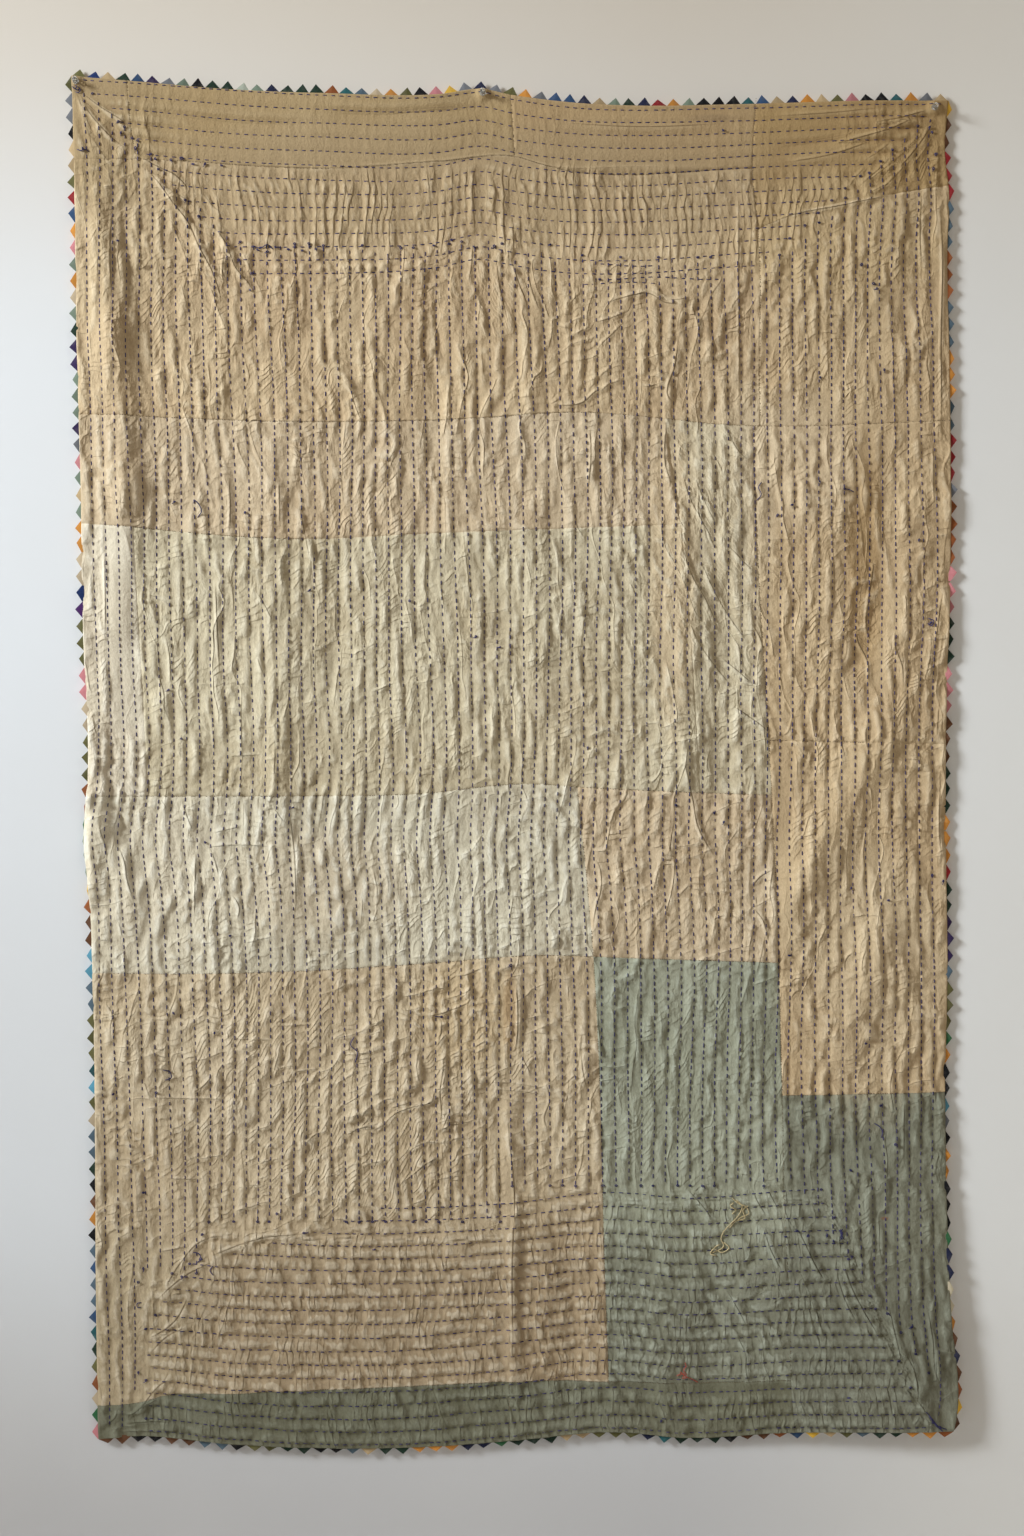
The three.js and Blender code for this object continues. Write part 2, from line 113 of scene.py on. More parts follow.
class Finish:
    """A material, or the room's own glow, in which nodes are laid one after another."""

    def __init__(self, name, kind=bpy.data.materials):
        self.material = kind.new(name)
        self.material.use_nodes = True
        self.tree = self.material.node_tree
        self.tree.nodes.clear()

    def node(self, kind, settings=(), sockets=(), out=0):
        node = self.tree.nodes.new(kind)
        for name, value in dict(settings).items():
            setattr(node, name, value)
        for name, value in dict(sockets).items():
            if isinstance(value, Wire):
                self.tree.links.new(value.socket, node.inputs[name])
            else:
                node.inputs[name].default_value = value
        return Wire(self, node.outputs[out]) if node.outputs else node

    def place(self):
        return self.node("ShaderNodeTexCoord", out="Object")

    def noise(self, place, scale, detail=2.0, roughness=0.5):
        sockets = {"Vector": place, "Scale": scale, "Detail": detail, "Roughness": roughness}
        return self.node("ShaderNodeTexNoise", {}, sockets)

    def stretched(self, place, scale, turn=0.0):
        sockets = {"Vector": place, "Scale": scale, "Rotation": (0, turn, 0)}
        return self.node("ShaderNodeMapping", {}, sockets)

    def split(self, vector):
        """The three numbers of a place."""
        parted = self.node("ShaderNodeSeparateXYZ", {}, {0: vector})
        return [Wire(self, socket) for socket in parted.socket.node.outputs]

    def carried(self, word):
        """The three numbers of one of the mesh's attributes."""
        return self.split(self.node("ShaderNodeAttribute", {"attribute_name": word}, out="Vector"))

    def bump(self, rise, depth, strength=1.0, over=None):
        """Relief as deep as given, in metres, laid over another."""
        sockets = {"Height": rise, "Strength": strength, "Distance": depth}
        if over:
            sockets["Normal"] = over
        return self.node("ShaderNodeBump", {}, sockets)

    def blend(self, factor, first, second, way="MIX"):
        """Goes from the first colour to the second as the factor goes from 0 to 1."""
        first, second = [tone if isinstance(tone, Wire) else (*tone, 1) for tone in (first, second)]
        return self.node(
            "ShaderNodeMix",
            {"data_type": "RGBA", "blend_type": way, "clamp_factor": True},
            {0: factor, 6: first, 7: second},
            out=2,
        )

    def between(self, value, low, high):
        """0 where the value is below low, 1 above high, and soft between them."""
        return self.node(
            "ShaderNodeMapRange",
            {"interpolation_type": "SMOOTHSTEP"},
            {0: value, 1: low, 2: high, 3: 0.0, 4: 1.0},
        )

    def ridge(self, value, foot, top, edge, end):
        """Rises from 0 at the foot to 1 at the top, and falls back to 0 from the edge to the end."""
        return self.between(value, foot, top) * (1 - self.between(value, edge, end))

    def shine(self, sockets):
        """The Principled shader, led to the output."""
        shader = self.node("ShaderNodeBsdfPrincipled", {}, sockets)
        self.node("ShaderNodeOutputMaterial", {}, {"Surface": shader})
        return self.material


def flat_board(name, corners, finish):
    """A wall or a floor, which belongs to the room and not to the quilt."""
    mesh = bpy.data.meshes.new(name)
    mesh.from_pydata(corners, [], [(0, 1, 2, 3)])
    mesh.materials.append(finish)
    put_in(name, mesh)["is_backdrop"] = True


# From behind, the wall can be looked through, and it stops no light.
plaster = Finish("plaster")
rightwards, _, height = plaster.split(plaster.place())
uneven = plaster.noise(plaster.place(), 1.3, 4.0)
# The paint is painted shade and light from the window and the room: darker near the floor, cool and bright
# over the middle, warmer above the quilt and paler to the right. Only the uneven step is the plaster's own
# tone.
plaster_tone_and_painted_light = (0.54, 0.54, 0.55)
for follows, low, high, strength, mottle_and_painted_light_tint in (
    (height, -2.3, -1.7, 1.0, (0.765, 0.80, 0.835)),
    (height, -0.5, 0.2, 1.0, (0.685, 0.635, 0.56)),
    (rightwards, 0.2, 0.9, 0.6, (0.83, 0.82, 0.775)),
    (uneven, 0.35, 0.7, 0.2, (0.72, 0.71, 0.69)),
):
    plaster_tone_and_painted_light = plaster.blend(plaster.between(follows, low, high) * strength, plaster_tone_and_painted_light, mottle_and_painted_light_tint)
matt = {"Base Color": plaster_tone_and_painted_light, "Roughness": 0.9, "Specular IOR Level": 0.1}
painted = plaster.node("ShaderNodeBsdfPrincipled", {}, matt)
unseen = plaster.node("ShaderNodeNewGeometry", out="Backfacing")
unseen = unseen.sum("MAXIMUM", unseen, plaster.node("ShaderNodeLightPath", out="Is Shadow Ray"))
nothing = plaster.node("ShaderNodeBsdfTransparent")
shown = plaster.node("ShaderNodeMixShader", {}, {0: unseen, 1: painted, 2: nothing})
plaster.node("ShaderNodeOutputMaterial", {}, {"Surface": shown})
BOARD = ((-ROOM_REACH, 0), (ROOM_REACH, 0), (ROOM_REACH, 1), (-ROOM_REACH, 1))
heights, depths = (FLOOR_HEIGHT, CEILING_HEIGHT), (-ROOM_REACH, ROOM_REACH)
flat_board("wall", [(x, WALL_FACE, heights[end]) for x, end in BOARD], plaster.material)

pale = Finish("pale_floor")
pale.shine({"Base Color": (0.72, 0.71, 0.69, 1), "Roughness": 0.7})
flat_board("floor", [(x, depths[end], FLOOR_HEIGHT) for x, end in BOARD], pale.material)

ROOM_GLOW = (0.285, 0.252, 0.212)  # what the room sends back on the quilt
SEEN_BEYOND = (0.80, 0.80, 0.79)  # what is seen past the wall and the floor
glow = Finish("room", bpy.data.worlds)
seen = glow.node("ShaderNodeLightPath", out="Is Camera Ray")
light = glow.node("ShaderNodeBackground", {}, {"Color": glow.blend(seen, ROOM_GLOW, SEEN_BEYOND)})
glow.node("ShaderNodeOutputWorld", {}, {"Surface": light})
bpy.context.scene.world = glow.material

LAMPS = [  # name, place, aimed at, width, height, spread in degrees, watts, colour
    ("window", (-5.3, -2.3, 1.5), (0.15, 0.0, -0.9), 1.3, 1.6, 48, 46, (0.91, 0.96, 1.0)),
    ("room", (2.6, -3.4, 0.9), (0.1, 0.0, -0.7), 3.0, 2.4, 180, 16, (1.0, 0.90, 0.78)),
    ("behind", (-2.2, 3.0, 0.4), (0.0, 0.0, -1.0), 2.4, 2.4, 180, 95, (1.0, 0.98, 0.95)),
]
for name, place, target, width, height, spread, watts, colour in LAMPS:
    lamp = put_in(name, bpy.data.lights.new(name, "AREA"))
    lamp.data.shape = "RECTANGLE"
    lamp.data.size = width
    lamp.data.size_y = height
    lamp.data.energy = watts
    lamp.data.color = colour
    lamp.data.spread = np.radians(spread)
    lamp.location = place
    away = lamp.location - type(lamp.location)(target)
    lamp.rotation_euler = away.to_track_quat("Z", "Y").to_euler()

# ---------------------------------------------------------------- how the quilt is sewn and hangs
# Front cloth, old cloth and pieced reverse are held together by rows of running stitch about
# 20 mm apart. Washing has shrunk the layers, so the cloth puckers between the stitches.
# Lengths are in millimetres here. A drop is measured down from the middle of the top edge.

TOP_EDGE = [(-695, -30), (-607, -21), (-430, -6), (-300, -1), (-114, 0), (-46, -9), (0, 1), (107, 15),
            (202, 19), (344, 17), (567, 11), (688, 9)]  # x, drop
BOTTOM_EDGE = [(-652, 2120), (-592, 2115), (-430, 2128), (-177, 2133), (0, 2122), (155, 2108),
               (281, 2117), (423, 2108), (694, 2104)]  # x, drop
LEFT_EDGE = [(-30, -695), (46, -692), (188, -688), (373, -686), (583, -680), (908, -673), (1016, -667),
             (1095, -668), (1174, -675), (1251, -667), (1427, -660), (1901, -655), (2120, -652)]  # drop, x
RIGHT_EDGE = [(9, 688), (90, 683), (163, 690), (226, 687), (420, 690), (779, 691), (962, 685),
              (1251, 685), (1357, 687), (1569, 683), (1901, 689), (2082, 698), (2104, 694)]  # drop, x
QUILT_WIDTH = 1380
QUILT_HEIGHT = 2130
REST_STAND_OFF = 8  # wall to the hidden face of the cloth, away from the pins
PINNED_STAND_OFF = 2  # the same, where a pin presses the cloth home
PIN_REACH = 60  # how far round a pin the cloth is drawn to the wall
RIGHT_CLOSER, BOTTOM_CLOSER = (5, 80), (3, 60)  # how much nearer the wall a rim lies, within what reach
REVERSE_FACE = 4.3  # hidden face of the cloth to the face that is seen

PINS = [("left", -687, -20), ("middle", -46, -1), ("right", 665, 22)]  # name, x, drop
FOLDS = [  # x, drop, x, drop, half width, height
    (-652, 190, -628, 380, 44, 10),
    (-628, 380, -608, 610, 44, 11),
    (-608, 610, -618, 830, 40, 7),
    (-655, 1020, -645, 1150, 24, 6),
    (-664, 1110, -660, 1240, 22, 8),
    (-645, 1150, -598, 1270, 24, 5),
    (-604, 1490, -512, 1740, 46, 6),
    (-376, 600, -370, 1060, 34, 4.5),
    (-370, 1060, -364, 1320, 34, 4),
    (-268, 730, -276, 890, 26, -3),
    (-120, 320, -127, 640, 28, -3.5),
    (33, 320, 36, 480, 26, 3.5),
    (32, 670, 44, 960, 30, 3.5),
    (268, 700, 268, 1080, 34, 4.5),
    (336, 800, 336, 1080, 30, -4),
    (636, 210, 618, 480, 36, -4),
    (600, 600, 553, 890, 44, -6),
    (580, 1015, 442, 1275, 46, 9),
    (586, 1320, 528, 1490, 38, 7),
    (-2, 1585, 2, 2020, 18, 4),
    (88, 1790, 92, 2030, 40, -5),
    (236, 1885, 244, 2050, 30, 4),
    (320, 1840, 320, 2030, 34, -4),
]
FOLD_SHARPER, FOLD_RUNS_OUT = 0.7, 0.6  # how narrow a fold is, and how slowly it ends
ROLL_START, ROLL_END, ROLL_WIDTH, ROLL_DEPTH = 1110, 1260, 14, 8
CORNER_LIFT, CORNER_WIDTH, CORNER_HEIGHT = 16, 420, 620


def soft(t):
    """Goes smoothly from 0 to 1 as t does."""
    t = np.clip(t, 0, 1)
    return t * t * (3 - 2 * t)


def curve(table, at):
    """A smooth line through a table's rows: its first column in, its second out."""
    a, b = np.array(table, float).T
    slope = np.gradient(b, a)
    i = np.clip(np.searchsorted(a, at) - 1, 0, len(a) - 2)
    step = a[i + 1] - a[i]
    t = np.clip((at - a[i]) / step, 0, 1)
    rise = b[i + 1] - b[i]
    first, last = slope[i] * step, slope[i + 1] * step
    return b[i] + t * (first + t * (3 * rise - 2 * first - last + t * (first + last - 2 * rise)))


def between(top, right, bottom, left, u, v):
    """The places at fractions u across and v down between four lines."""
    x = left[0][1] + (right[0][1] - left[0][1]) * u
    for _ in range(7):
        high, low = curve(top, x), curve(bottom, x)
        drop = high + (low - high) * v
        near, far = curve(left, drop), curve(right, drop)
        x = near + (far - near) * u
    return x, drop


def from_line(x, drop, x0, drop0, x1, drop1):
    """How far across and down each place lies from the nearest point of a straight line."""
    dx, dz = x1 - x0, drop1 - drop0
    t = np.clip(((x - x0) * dx + (drop - drop0) * dz) / (dx * dx + dz * dz), 0, 1)
    return x - x0 - t * dx, drop - drop0 - t * dz


def stand_off(x, drop):
    """Distance from the wall to the hidden face of the cloth."""
    folds = np.zeros_like(x)
    for *line, half_width, height in FOLDS:
        across, down = from_line(x, drop, *line)
        away = np.hypot(across, down * FOLD_RUNS_OUT)
        folds += height * np.exp(-((away / (FOLD_SHARPER * half_width)) ** 2))
    pinned = np.zeros_like(x)
    for _, pin_x, pin_drop in PINS:
        pinned = np.maximum(pinned, np.exp(-((x - pin_x) ** 2 + (drop - pin_drop) ** 2) / PIN_REACH**2))
    lift = soft((x - QUILT_WIDTH / 2 + CORNER_WIDTH) / CORNER_WIDTH)
    lift = lift * soft((drop - QUILT_HEIGHT + CORNER_HEIGHT) / CORNER_HEIGHT)
    rolled = np.sin(np.pi * np.clip((drop - ROLL_START) / (ROLL_END - ROLL_START), 0, 1))
    roll = rolled * ROLL_DEPTH * (1 - soft((x - curve(LEFT_EDGE, drop)) / ROLL_WIDTH))
    close = RIGHT_CLOSER[0] * (1 - soft((curve(RIGHT_EDGE, drop) - x) / RIGHT_CLOSER[1]))
    close = close + BOTTOM_CLOSER[0] * (1 - soft((curve(BOTTOM_EDGE, x) - drop) / BOTTOM_CLOSER[1]))
    hanging = (REST_STAND_OFF + folds - close) * (1 - pinned) + PINNED_STAND_OFF * pinned
    return np.maximum(PINNED_STAND_OFF, hanging + CORNER_LIFT * lift - roll)


ROW_SPACING = 20.6
FIRST_DOWN, FIRST_TOP, FIRST_LOW = 17, 6, 9  # from each edge to its first row
TOP_ROWS, LOW_ROWS = 14, 19
TOP_SPREAD, TOP_CLOSE = 1.2, 1.6  # top rows lie wider apart at the left and closer at the right
TOP_MARGIN = 238  # the top rows together, at the middle
TOP_LEFT, TOP_RIGHT = (-690, 1.02), (686, 1.06)  # x at the edge where they end, and the mitre's slope
LOW_LEFT, LOW_MIDDLE, LOW_RIGHT = 1860, 1778, 1722  # drops at which the rows across the bottom start
LOW_FIRST, LOW_LAST, LOW_MITRE = -578, 656, 0.44  # x where they start and end, and the mitre's slope
LOW_STEPS = [(8, 14), (13, 46)]  # row, and how much further in each row above it starts
STITCH_PITCH = 11.7  # in the rows down the quilt
TOP_PITCH_MORE, LOW_PITCH_MORE = 1.1, 0.5  # how much longer it is in the rows across
STITCH_LENGTH = 6.8
LENGTH_VARIES = 1.0
ROW_ENDS = [(-600, 2106), (-575, 2054), (-480, LOW_LEFT), (0, LOW_MIDDLE)]  # rows left of x end here
MITRE_X, MITRE_SLOPE = 450, 1.42  # right of x the rows end at the mitre of the bottom right corner
LAST_ROWS = (655, 2090)  # and right of this x they go down to this drop
MENDED_ROWS = [  # x, x, drop
    (128, 232, 270), (138, 330, 291), (104, 230, 299), (-128, -104, 1451), (-126, -108, 1455),
]
STEP = 3.0  # between the places of a row


def wander(along, row):
    """How far a row of stitches strays from its line."""
    slow = 3 * np.sin(along / 310 + row * 0.35) + 2 * np.sin(along / 147 + 1.3 + row * 0.22)
    return slow + np.sin(along / 61 + row * 0.9)


# Rows down the quilt start at the mitre with the rows across the top and end at those across the
# bottom. Each row is a list of places.
sewn_rows = []
for row, off in enumerate(np.arange(FIRST_DOWN, QUILT_WIDTH - 8, ROW_SPACING)):
    drop = np.arange(-30, 2115, STEP)
    near, far = curve(LEFT_EDGE, drop), curve(RIGHT_EDGE, drop)
    x = near + (far - near) * off / QUILT_WIDTH + wander(drop, row)
    start = curve(TOP_EDGE, x) + np.minimum(np.minimum(0.94 * off, TOP_MARGIN), 0.9 * (QUILT_WIDTH - off))
    end = np.select([x < side for side, _ in ROW_ENDS], [low for _, low in ROW_ENDS], LOW_RIGHT)
    end = np.where(x > MITRE_X, LOW_RIGHT + (x - MITRE_X) * MITRE_SLOPE, end)
    end = np.where(x > LAST_ROWS[0], LAST_ROWS[1], end)
    kept = (drop > start) & (drop < end)
    sewn_rows.append((x[kept], drop[kept]))
for row in range(TOP_ROWS):
    off = FIRST_TOP + row * ROW_SPACING
    x = np.arange(-688, 686, STEP)
    drop = curve(TOP_EDGE, x) + off + 0.7 * wander(x, row)
    drop = drop + row * TOP_SPREAD * soft(-x / 500) - row * TOP_CLOSE * soft(x / 500)
    kept = (x > TOP_LEFT[0] + off * TOP_LEFT[1]) & (x < TOP_RIGHT[0] - off * TOP_RIGHT[1])
    sewn_rows.append((x[kept], drop[kept]))
for row in range(LOW_ROWS):
    off = FIRST_LOW + row * ROW_SPACING
    x = np.arange(-600, 664, STEP)
    drop = curve(BOTTOM_EDGE, x) - off + 0.7 * wander(x, row + 40)
    first = LOW_FIRST + sum(further * max(0, row - start) for start, further in LOW_STEPS)
    kept = (x > first) & (x < LOW_LAST - off * LOW_MITRE)
    sewn_rows.append((x[kept], drop[kept]))
for left, right, drop in MENDED_ROWS:
    x = np.arange(left, right, STEP)
    sewn_rows.append((x, drop + 2 * np.sin(x / 25 + drop)))

hand = np.random.default_rng(5)
stitches = []  # x, drop of each end
for row, (x, drop) in enumerate(sewn_rows):
    run = np.concatenate([[0], np.cumsum(np.hypot(np.diff(x), np.diff(drop)))])
    across = abs(x[-1] - x[0]) > abs(drop[-1] - drop[0])
    more = TOP_PITCH_MORE if drop[0] < 400 else LOW_PITCH_MORE
    pitch = STITCH_PITCH + (more if across else 0)
    at = (-x[0] + 3 * np.sin(row * 0.8)) % pitch if across else hand.uniform(0, pitch)
    while at < run[-1] - 7:
        length = STITCH_LENGTH + hand.uniform(-LENGTH_VARIES, LENGTH_VARIES)
        begin = max(0, at + hand.uniform(-LENGTH_VARIES, LENGTH_VARIES))
        stitches.append([np.interp(s, run, line) for s in (begin, begin + length) for line in (x, drop)])
        at += pitch + (0.4 if across else 1.2) * np.sin(at / 90 + row)
stitches = np.array(stitches)

# The puckers are relaxed on a net of 2.5 mm squares that covers the quilt. The cloth has more
# length than its place allows, mostly across the rows, and it rises where no stitch holds it.
NET = 2.5
NET_X = np.arange(-708, 709, NET)
NET_DROP = np.arange(-42, 2151, NET)
net_x, net_drop = np.meshgrid(NET_X, NET_DROP)
net_x, net_drop = net_x.astype(np.float32), net_drop.astype(np.float32)


def uneven_field(u, v, seed):
    """Soft random hills and hollows, about one to a unit of u and of v."""
    table = np.random.default_rng(seed).standard_normal((256, 256)).astype(np.float32)
    iu, iv = np.floor(u).astype(int), np.floor(v).astype(int)
    tu, tv = soft(u - iu).astype(np.float32), soft(v - iv).astype(np.float32)
    iu, iv = iu & 255, iv & 255
    ju, jv = (iu + 1) & 255, (iv + 1) & 255
    high = table[iv, iu] * (1 - tu) + table[iv, ju] * tu
    low = table[jv, iu] * (1 - tu) + table[jv, ju] * tu
    return high * (1 - tv) + low * tv


def smeared(values):
    """Each point drawn a little towards its neighbours."""
    down = values.copy()
    down[1:-1] = 0.25 * values[:-2] + 0.5 * values[1:-1] + 0.25 * values[2:]
    across = down.copy()
    across[:, 1:-1] = 0.25 * down[:, :-2] + 0.5 * down[:, 1:-1] + 0.25 * down[:, 2:]
    return across


def net_place(x, drop):
    """Row and column of the net's point nearest to each place."""
    column = np.clip(np.round((x - NET_X[0]) / NET).astype(int), 0, len(NET_X) - 1)
    row = np.clip(np.round((drop - NET_DROP[0]) / NET).astype(int), 0, len(NET_DROP) - 1)
    return row, column


HELD_BETWEEN = 0.06  # how firmly the row holds the cloth between two stitches; a stitch holds it by 1
held = np.zeros_like(net_x)
for x, drop in sewn_rows:
    held[net_place(x, drop)] = HELD_BETWEEN
for t in (0.05, 0.5, 0.95):
    held[net_place(*(stitches[:, :2] * (1 - t) + stitches[:, 2:] * t).T)] = 1

SMOOTH_BANDS = [  # x, drop, x, drop, half width, how smooth
    (-622, 690, -606, 990, 22, 0.85),
    (424, 1020, 428, 1350, 12, 0.8),
    (679, 200, 681, 380, 9, 0.8),
    (-678, 1560, -664, 2090, 10, 0.6),
    (400, 520, 640, 500, 26, 0.4),
    (520, 1075, 640, 1085, 14, 0.6),
    (165, 2032, 420, 2036, 9, 0.7),
]
below_top = net_drop - curve(TOP_EDGE, NET_X)[None, :]
above_bottom = curve(BOTTOM_EDGE, NET_X)[None, :] - net_drop
GIVES_WAY = 40  # how softly the rows down give way to the rows across
across_top = 1 - soft((below_top - 228) / GIVES_WAY)
across_top = across_top * soft((net_x + 710 - below_top * 0.98) / GIVES_WAY)
across_top = across_top * soft((708 - net_x - below_top) / GIVES_WAY)
low_start = np.select([net_x < -480, net_x < 0], [LOW_LEFT, LOW_MIDDLE], LOW_RIGHT)
across_low = soft((net_drop - low_start + 10) / GIVES_WAY) * soft((net_x + 590) / 30)
across_low = across_low * soft((686 - above_bottom * LOW_MITRE - net_x) / GIVES_WAY)
rows_across = np.clip(across_top + across_low, 0, 1)
rows_down = 1 - rows_across
near_pins = np.exp(-(((np.abs(net_x) - 615) / 80) ** 2)) * soft((net_drop + 10) / 60)
smooth_strips = 0.86 * (1 - soft((net_drop - 106) / 30)) * (1 - 0.75 * near_pins)
slack = 1 - smooth_strips
for *line, half_width, smooth in SMOOTH_BANDS:
    away = np.hypot(*from_line(net_x, net_drop, *line))
    slack = slack * (1 - smooth * (1 - soft(away / half_width - 0.5)))


def round_place(x, drop, across, down):
    """1 on the net at a place, and softly less further out."""
    return np.exp(-(((net_x - x) / across) ** 2) - ((net_drop - drop) / down) ** 2)


# The puckers lean to the right going down below the left pin, and to the left in the lower half.
LEANS = [  # x, drop, reach across, reach down, degrees
    (-520, 420, 160, 420, 9),
    (250, 770, 130, 250, 24),
    (480, 1900, 200, 200, 22),
    (-480, 1900, 140, 160, -30),
    (30, 300, 90, 90, 14),
    (-360, 1450, 330, 420, -21),
    (-250, 1000, 260, 260, -15),
    (-60, 560, 120, 180, -12),
    (420, 1250, 200, 300, -12),
    (330, 330, 160, 170, -16),
]
lean = 9 * uneven_field(net_x / 90, net_drop / 120, 5) + 12 * uneven_field(net_x / 28, net_drop / 36, 6)
leaning = 9 * uneven_field(net_x / 120, net_drop / 130, 7) + 3 * uneven_field(net_x / 45, net_drop / 50, 8)
for x, drop, across, down, degrees in LEANS:
    near = round_place(x, drop, across, down)
    lean = lean + degrees * near
    leaning = leaning + np.tan(np.radians(degrees)) * (net_drop - drop) * near
lean = np.radians(lean * rows_down + 0.4 * lean * rows_across)
patchy = 1 + 0.3 * uneven_field(net_x / 110, net_drop / 160, 1)
patchy = patchy + 0.55 * uneven_field(net_x / 24, net_drop / 30, 11)
patchy = np.clip(patchy, 0.1, 2.2) * (1.02 - 0.3 * soft((net_x + 300) / 1000))
flat_low = round_place(-260, 1580, 300, 240)  # the lower left has softer rolls
SPARE_ACROSS = 0.055, 0.15  # cloth to spare across the rows, in the rows down and in those across
SPARE_ALONG = 0.03, 0.01  # the same along the rows
spare_across = SPARE_ACROSS[0] * rows_down * (1 - 0.72 * flat_low) + SPARE_ACROSS[1] * rows_across
spare_across = spare_across * patchy * slack
spare_along = (SPARE_ALONG[0] * rows_down + SPARE_ALONG[1] * rows_across) * patchy * slack
cos, sin = np.cos(lean), np.sin(lean)
spare_xx = (spare_across * cos * cos + spare_along * sin * sin).astype(np.float32)
spare_zz = (spare_across * sin * sin + spare_along * cos * cos).astype(np.float32)
spare_xz = ((spare_along - spare_across) * cos * sin).astype(np.float32)

# Streaks and short crossing wrinkles, which start the puckers off and stay in them.
warped_x = net_x + 5 * uneven_field(net_x / 34, net_drop / 40, 31)
warped_x = warped_x + 2.5 * uneven_field(net_x / 12, net_drop / 14, 32)
warped_drop = net_drop + 8 * uneven_field(net_x / 30, net_drop / 36, 33)
turned_x = warped_x - leaning
streaks = uneven_field(turned_x / 10, warped_drop / 40, 21)
leaf = np.abs(uneven_field(turned_x / 15, warped_drop / 50, 28))
short = np.abs(uneven_field(turned_x / 9, warped_drop / 20, 22))
slant_x, slant_drop = warped_x + 0.8 * warped_drop, warped_drop - 0.5 * warped_x
crossing = np.abs(uneven_field(slant_x / 16, slant_drop / 10, 23))
slant_x, slant_drop = warped_x - 0.9 * warped_drop, warped_drop + 0.7 * warped_x
other_way = np.abs(uneven_field(slant_x / 16, slant_drop / 10, 24))
here = soft(0.5 + 0.6 * uneven_field(net_x / 42, net_drop / 46, 25))
slant_x, slant_drop = warped_x + 0.5 * warped_drop, warped_drop - 0.6 * warped_x
broad = np.abs(uneven_field(slant_x / 42, slant_drop / 27, 29))
lower = soft((net_drop - 900) / 700)
LEAF_HEIGHT, SHORT_HEIGHT, CROSSING_HEIGHT, OTHER_HEIGHT = 0.9, 0.25, 0.55, 0.45
BROAD_HEIGHT, BROAD_LOWER = 0.7, 0.6  # of the broad ones, and how much higher they are lower down
wrinkles = LEAF_HEIGHT * leaf + SHORT_HEIGHT * short
wrinkles = wrinkles + CROSSING_HEIGHT * crossing * here + OTHER_HEIGHT * other_way * (1 - here)
wrinkles = wrinkles + (BROAD_HEIGHT + BROAD_LOWER * lower) * broad
wrinkles = wrinkles * np.clip(0.9 + 0.5 * uneven_field(net_x / 70, net_drop / 80, 26), 0.2, 2)

# Between two rows the cloth stands up as a soft roll, gathered by small creases across it that
# stop at the rows.
near, far = curve(LEFT_EDGE, NET_DROP)[:, None], curve(RIGHT_EDGE, NET_DROP)[:, None]
down_number, top_number, low_number = np.zeros_like(net_x), np.zeros_like(net_x), np.zeros_like(net_x)
top_spacing = ROW_SPACING + TOP_SPREAD * soft(-net_x / 500) - TOP_CLOSE * soft(net_x / 500)
for _ in range(3):
    from_left = (net_x - near - wander(net_drop, down_number)) / (far - near) * QUILT_WIDTH
    down_number = (from_left - FIRST_DOWN) / ROW_SPACING
    top_number = (below_top - FIRST_TOP - 0.7 * wander(net_x, top_number)) / top_spacing
    low_number = (above_bottom - FIRST_LOW + 0.7 * wander(net_x, low_number + 40)) / ROW_SPACING


def ridged(line, sharpness=2.4):
    """Rounded ridges one unit apart, with narrow creases between them."""
    return 1 - np.abs(2 * (line - np.floor(line)) - 1) ** sharpness


within = (down_number - np.floor(down_number) - 0.5) * ROW_SPACING
GATHER_SPACING = 10.8
COLUMN_SHIFT = 5  # how far the gathers of neighbouring rolls are out of step
RIB_SPACING = 12.5
GATHERED = [  # x, drop, reach across, reach down, how much the gathers slant, how much stronger
    (-100, 1500, 90, 120, 0.5, 0.8),
    (150, 400, 70, 110, 0.6, 0.6),
    (270, 400, 60, 120, -1.2, 0.3),
    (-400, 1560, 180, 160, 0.3, 0.7),
    (-180, 1680, 160, 90, 0.7, 0.8),
    (290, 800, 110, 240, -1.3, 0.4),
    (-470, 330, 60, 200, -0.9, 0.4),
    (-30, 330, 70, 90, -0.9, 0.1),
]
tilt = 0.3 + 0.55 * uneven_field(net_x / 80, net_drop / 110, 41)
gathered = 0.75 + 0.5 * uneven_field(net_x / 24, net_drop / 40, 44)
for x, drop, across, down, slant, stronger in GATHERED:
    near = round_place(x, drop, across, down)
    tilt, gathered = tilt + slant * near, gathered + stronger * near
gathered = np.clip(gathered, 0.0, 2.0) * slack
column = np.floor(down_number)
gather_line = net_drop / GATHER_SPACING + 0.4 * uneven_field(net_x / 15, net_drop / 20, 42)
gather_line = gather_line + 0.9 * uneven_field(down_number * 0.63, net_drop / 60, 45)
own_line = gather_line + (tilt * within + COLUMN_SHIFT * np.sin(column * 2.3)) / GATHER_SPACING
chance = 43.7 * np.sin(1.7 * np.floor(own_line) + 2.9 * column)
chance = chance - np.floor(chance)
gathers = ridged(own_line, 1.7) * gathered * (0.2 + 0.9 * chance**2 + 0.5 * flat_low * chance)
low_down = soft((net_drop - 500) / 900)
in_strips = 1 - soft((net_drop - 100) / 30)
ROLL_HEIGHT, ROLL_LOWER = 0.42, 0.08  # of a roll down the quilt, and how much higher it is lower down
GATHER_HEIGHT, GATHER_LOWER = 0.7, 0.55  # the same of its gathers
TOP_ROLL_HEIGHT, STRIP_ROLL_MORE, LOW_ROLL_HEIGHT = 0.5, 4, 2.8
RIB_HEIGHT, LOW_RIB_MORE = 0.85, 0.3
down_roll = (ROLL_HEIGHT + ROLL_LOWER * low_down) * (1 - 0.6 * flat_low) * patchy
down_roll = down_roll + (GATHER_HEIGHT + GATHER_LOWER * low_down) * gathers
